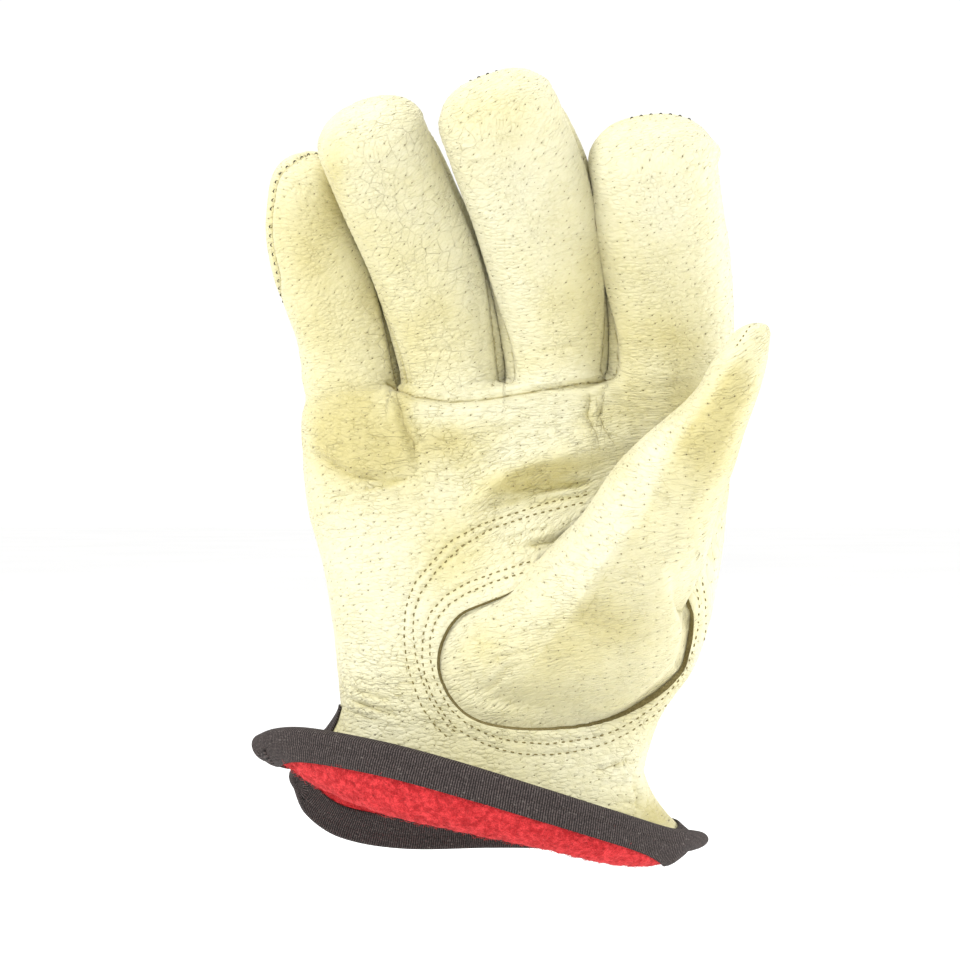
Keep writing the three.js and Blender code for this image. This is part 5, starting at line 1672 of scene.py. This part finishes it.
def tape_profile():
    """The folded tape's section: its depth from the edge and its height over the leather's face."""
    middle, half = (TAPE_OUTSIDE + TAPE_INSIDE_AT_RIM) / 2, (TAPE_OUTSIDE - TAPE_INSIDE_AT_RIM) / 2
    arc = np.linspace(0, np.pi, 17)[1:-1]
    face = np.linspace(TAPE_WIDTH - 0.5, 0.5, 26)
    seam = 0.3 * np.exp(-((face - TAPE_WIDTH * 0.38) / 0.45) ** 2)
    under = TAPE_INSIDE_AT_RIM + (TAPE_INSIDE - TAPE_INSIDE_AT_RIM) * smoothstep(face, 0, TAPE_WIDTH)
    outer = [(TAPE_WIDTH + 0.1, TAPE_OUTSIDE - 0.85), (TAPE_WIDTH + 0.2, TAPE_OUTSIDE - 0.5),
             (TAPE_WIDTH + 0.05, TAPE_OUTSIDE - 0.12)]
    outer += list(zip(face, TAPE_OUTSIDE - seam))
    outer += [(-1.5 * math.sin(a), middle + half * math.cos(a)) for a in arc]
    outer += list(zip(face[::-1], (under + seam)[::-1]))
    outer += [(TAPE_WIDTH + 0.05, TAPE_INSIDE + 0.12), (TAPE_WIDTH + 0.2, TAPE_INSIDE + 0.5),
              (TAPE_WIDTH + 0.1, TAPE_INSIDE + 0.85)]
    inner = [(TAPE_WIDTH - 0.5, TAPE_INSIDE + TAPE_THICK), (0.6, TAPE_INSIDE_AT_RIM + TAPE_THICK)]
    inner += [(-0.8 * math.sin(a), middle + (half - TAPE_THICK) * math.cos(a)) for a in arc[::-1]]
    inner += [(0.6, TAPE_OUTSIDE - TAPE_THICK), (TAPE_WIDTH - 0.5, TAPE_OUTSIDE - TAPE_THICK)]
    return np.array(outer + inner)


def tape_stations():
    """The tape's way round the cuff: for each station the edge's place and the way into the leather."""
    last = rim_arc[-1]
    stations = [(below, 0.0, 0.0, 1.0) for below in np.arange(cuff_lengths[0], CORNER_ROUND, -TAPE_STEP)]
    corner = [(CORNER_ROUND * (1 - math.sin(a)), CORNER_ROUND * (1 - math.cos(a)), math.sin(a), math.cos(a))
              for a in np.linspace(0, np.pi / 2, 9)]
    stations += corner
    beside_at = np.arange(CORNER_ROUND + TAPE_STEP, last - CORNER_ROUND, TAPE_STEP)
    stations += [(0.0, beside, 1.0, 0.0) for beside in beside_at]
    stations += [(below, last - beside, down, -across) for below, beside, down, across in corner[::-1]]
    below_at = np.arange(CORNER_ROUND + TAPE_STEP, cuff_lengths[-1], TAPE_STEP)
    stations += [(below, last, 0.0, -1.0) for below in below_at]
    return np.array(stations)


profile = tape_profile()
stations = tape_stations()
row_rates = (np.diff(row_arcs, axis=1) / np.diff(rim_arc))[::-1]
slit_rate, end_rate = (np.interp(stations[:, 0], from_rim[::-1, k], row_rates[:, k]) for k in (0, -1))
rate = np.where(stations[:, 3] > 0, slit_rate, end_rate)
rings = np.zeros((len(stations), len(profile), 3))
edge_points, _ = on_cuff(stations[:, 0], stations[:, 1])
inner_points, _ = on_cuff(stations[:, 0] + stations[:, 2], stations[:, 1] + stations[:, 3])
leaving = unit(edge_points - inner_points)
turn_there = np.interp(stations[:, 1], rim_arc, cuff_turns)
wider = 1 + TAPE_WIDER_BEHIND * smoothstep(turn_there, 1.0, 1.25)
for k, (depth, rise) in enumerate(profile):
    inside = max(depth, 0.0) * wider
    place_below = stations[:, 0] + stations[:, 2] * inside
    place_beside = stations[:, 1] + stations[:, 3] * inside / rate
    points, normals = on_cuff(place_below, place_beside)
    rings[:, k] = points + leaving * max(-depth, 0.0) + normals * rise
tape_points, tape_triangles = tube_mesh(rings, rings[0].mean(0), rings[-1].mean(0))
binding = mesh_object("twill_binding", tape_points, tape_triangles)
tape_along, tape_across = np.meshgrid(run_along(rings[:, MEASURED_AT]), run_along(profile), indexing="ij")
weave = np.stack([tape_along, tape_across, 0 * tape_along], -1).reshape(-1, 3)
give(binding, "weave", np.concatenate([weave[:1], weave, weave[-1:]]))

twill, start = new_finish("black_twill")
place = start.place()
run, width, _ = start.attribute("weave").parts()
rib = (run + width * 0.22 + place.noise(0.8) * 0.35).wave(RIB_PITCH) * 0.5 + 0.5
yarn = (width - run * 0.1).wave(YARN_PITCH) * 0.5 + 0.5
sewn = (width - SEWN_ACROSS).line(0.16, 0.4)
stitch = run.wave(TAPE_STITCH_PITCH).ramp(-0.5, 0.1)
fleck_place = start.vector(run * 1.6, width * 2.4).vector_math("FLOOR")
fleck = start.node("ShaderNodeTexWhiteNoise", {"noise_dimensions": "2D"}, {"Vector": fleck_place})
dust = fleck.ramp(0.90, 1.0) * place.noise(0.5).ramp(0.35, 0.7)
black = rib.blend(rgb(0.010, 0.007, 0.007), rgb(0.098, 0.078, 0.073))
black = black.tint(rgb(0.55, 0.55, 0.55), yarn * 0.4)
black = black.tint(rgb(0.4, 0.4, 0.4), place.noise(2.2).ramp(0.4, 0.62) * 0.8)
black = black.tint(rgb(0.25, 0.22, 0.2), sewn * (stitch * 0.6 + 0.3))
black = (dust * 0.30).blend(black, rgb(0.24, 0.21, 0.19))
dress(twill, {"Base Color": black, "Roughness": 0.85, "Specular IOR Level": 0.2},
      rib * 0.12 + yarn * 0.06 - sewn * 0.15 + sewn * stitch * 0.2)
binding.data.materials.append(twill)
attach(binding, "root")
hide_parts("cuff_binding")

# Stitches. Linen thread holds the palm's reinforcement in four rows of short stitches, and shows in the
# seams at the tips of the thumb and the fingers. Each stitch is a short thread that dips into the leather at
# both ends. A stitch's sizes are its length, its thickness and its rise over the leather.
PALM_STITCH = (1.35, 0.46, 0.10)
PALM_STITCH_PITCH = 2.45
THUMB_STITCH = (1.0, 0.4, 0.1)
THUMB_ROW = ((749.5, 327.0), (746.5, 331.5), (743.5, 336.0), (740.5, 340.5), (737.5, 345.0))
AHEAD_ON_THUMB = (-0.9, 1.35)
TIP_STITCH = (1.1, 0.42, 0.12)
TIP_STITCH_PITCH = 2.9
STITCH_SIDES = 6
STITCH_ALONG = np.array([-1.0, -0.8, -0.4, 0.0, 0.4, 0.8, 1.0])
STITCH_TAPER = np.array([0.55, 0.9, 1.0, 1.0, 1.0, 0.9, 0.55])
STITCH_DIP = 0.5


def stitches(name, places, ways, outs, sizes, finish):
    """Short threads at places on the leather, along ways and with outs away from it, as one piece."""
    long, thick, rise = sizes
    beside = unit(np.cross(ways, outs))
    outs = unit(np.cross(beside, ways))
    angle = 2 * np.pi * np.arange(STITCH_SIDES) / STITCH_SIDES
    middle = (places[:, None] + ways[:, None] * (STITCH_ALONG * long / 2)[None, :, None]
              + outs[:, None] * (rise - STITCH_DIP * STITCH_ALONG ** 4)[None, :, None])
    round_it = (beside[:, None, None] * np.cos(angle)[None, None, :, None]
                + outs[:, None, None] * np.sin(angle)[None, None, :, None])
    rings = middle[:, :, None] + round_it * (STITCH_TAPER * thick / 2)[None, :, None, None]
    points, triangles = [], []
    for k in range(len(places)):
        one, faces = tube_mesh(rings[k], middle[k, 0] - ways[k] * 0.05, middle[k, -1] + ways[k] * 0.05)
        triangles.append(faces + k * len(one))
        points.append(one)
    piece = mesh_object(name, np.concatenate(points), np.concatenate(triangles))
    piece.data.materials.append(finish)
    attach(piece, "root")


def laid(tree, here, ahead):
    """Where drawn stitches lie on a skin, the way to a place ahead, the way out, and which are seen."""
    places, outs, met = seen(tree, here)
    ahead_places, _, ahead_met = seen(tree, ahead)
    return places, ahead_places - places, outs, met & ahead_met


# Painted shade: the thread is dark olive, its own colour darkened for the needle holes and the shadows between
# the stitches.
thread, start = new_finish("thread_with_painted_shade")
thread_shade_tone = start.place().noise(3.0).ramp(0.3, 0.7).blend(rgb(0.12, 0.095, 0.03), rgb(0.24, 0.20, 0.08))
dress(thread, {"Base Color": thread_shade_tone, "Roughness": 0.7, "Specular IOR Level": 0.2})

palm_tree = BVHTree.FromPolygons(outer_points.tolist(), skin_triangles.tolist())
palm_rows = []
for row in STITCH_ROWS:
    row = np.array(row, float)
    run = run_along(row) * MM_PER_PIXEL
    stops = np.arange(PALM_STITCH_PITCH / 2, run[-1], PALM_STITCH_PITCH)
    here = at_stops(stops, run, row)
    places, ways, outs, kept = laid(palm_tree, here, at_stops(stops + 0.6, run, row))
    off, _ = inside_curve(here, oval)
    kept &= (off < -0.6) & (outs[:, 1] < -0.12) & (np.linalg.norm(ways, axis=1) < 2.0)
    palm_rows.append((places[kept], unit(ways[kept]), outs[kept]))
stitches("palm_stitches", *(np.concatenate(part) for part in zip(*palm_rows)), PALM_STITCH, thread)

thumb_tree = BVHTree.FromPolygons(thumb_points.tolist(), thumb_triangles.tolist())
thumb_row = np.array(THUMB_ROW)
places, ways, outs, kept = laid(thumb_tree, thumb_row, thumb_row + AHEAD_ON_THUMB)
stitches("thumb_stitches", places[kept], unit(ways[kept]), outs[kept], THUMB_STITCH, thread)

# The seam over each finger's tip is where the border between front and back crosses the skin's edges. On the
# little finger its stitches run on down the outer side, and on the index finger they keep to the top. Its
# places are put in order round the tip and smoothed before the stitches are laid on them.
TIP_ROW_BELOW = 6
LITTLE_ROW_FROM = 152
INDEX_ROW_BETWEEN = (43, 65)
EVEN_STEP = 0.3
MEAN_OF = 7

low, high = pairs[:, 0], pairs[:, 1]
crossing = (front[low] > 0) != (front[high] > 0)
low, high = low[crossing], high[crossing]
t = (front[low] / (front[low] - front[high]))[:, None]
seam_points = skin_points[low] * (1 - t) + skin_points[high] * t
seam_outs = unit(skin_normals[low] * (1 - t) + skin_normals[high] * t)
tip_rows = []
for number, rows in enumerate(FINGERS):
    lowest = rows[-1, 0] - TIP_ROW_BELOW
    mine = (nearest[low] == number) & (seam_points[:, 2] > lowest) & (any_fork[low] < 0)
    if number == 0:
        mine |= (nearest[low] == 0) & (seam_points[:, 2] > LITTLE_ROW_FROM) & (finger_u[low] < 0)
    if number == 3:
        mine &= (seam_points[:, 0] > INDEX_ROW_BETWEEN[0]) & (seam_points[:, 0] < INDEX_ROW_BETWEEN[1])
    points, outs = seam_points[mine], seam_outs[mine]
    order = np.argsort(-np.arctan2(points[:, 2] - (lowest - 12), points[:, 0] - rows[-1, 1]))
    steps = np.maximum(np.linalg.norm(np.diff(points[order], axis=0), axis=1), 1e-6)
    run = np.concatenate([[0], np.cumsum(steps)])
    even = np.arange(0, run[-1], EVEN_STEP)
    path, path_outs = (
        np.stack([np.convolve(column, np.ones(MEAN_OF) / MEAN_OF, "valid")
                  for column in at_stops(even, run, values[order]).T], 1) for values in (points, outs))
    run = run_along(path)
    stops = np.arange(1.0, run[-1] - 0.5, TIP_STITCH_PITCH)
    here = at_stops(stops, run, path)
    ways = unit(at_stops(stops + 0.5, run, path) - here)
    tip_rows.append((here, ways, unit(at_stops(stops, run, unit(path_outs)))))

# The tip stitches are near black: painted shade for the needle holes along the tip seams.
tip_stitch_shade, _ = new_finish("tip_stitch_shade")
dress(tip_stitch_shade, {"Base Color": rgb(0.045, 0.038, 0.02), "Roughness": 0.8})
stitches("tip_stitches", *(np.concatenate(part) for part in zip(*tip_rows)), TIP_STITCH, tip_stitch_shade)
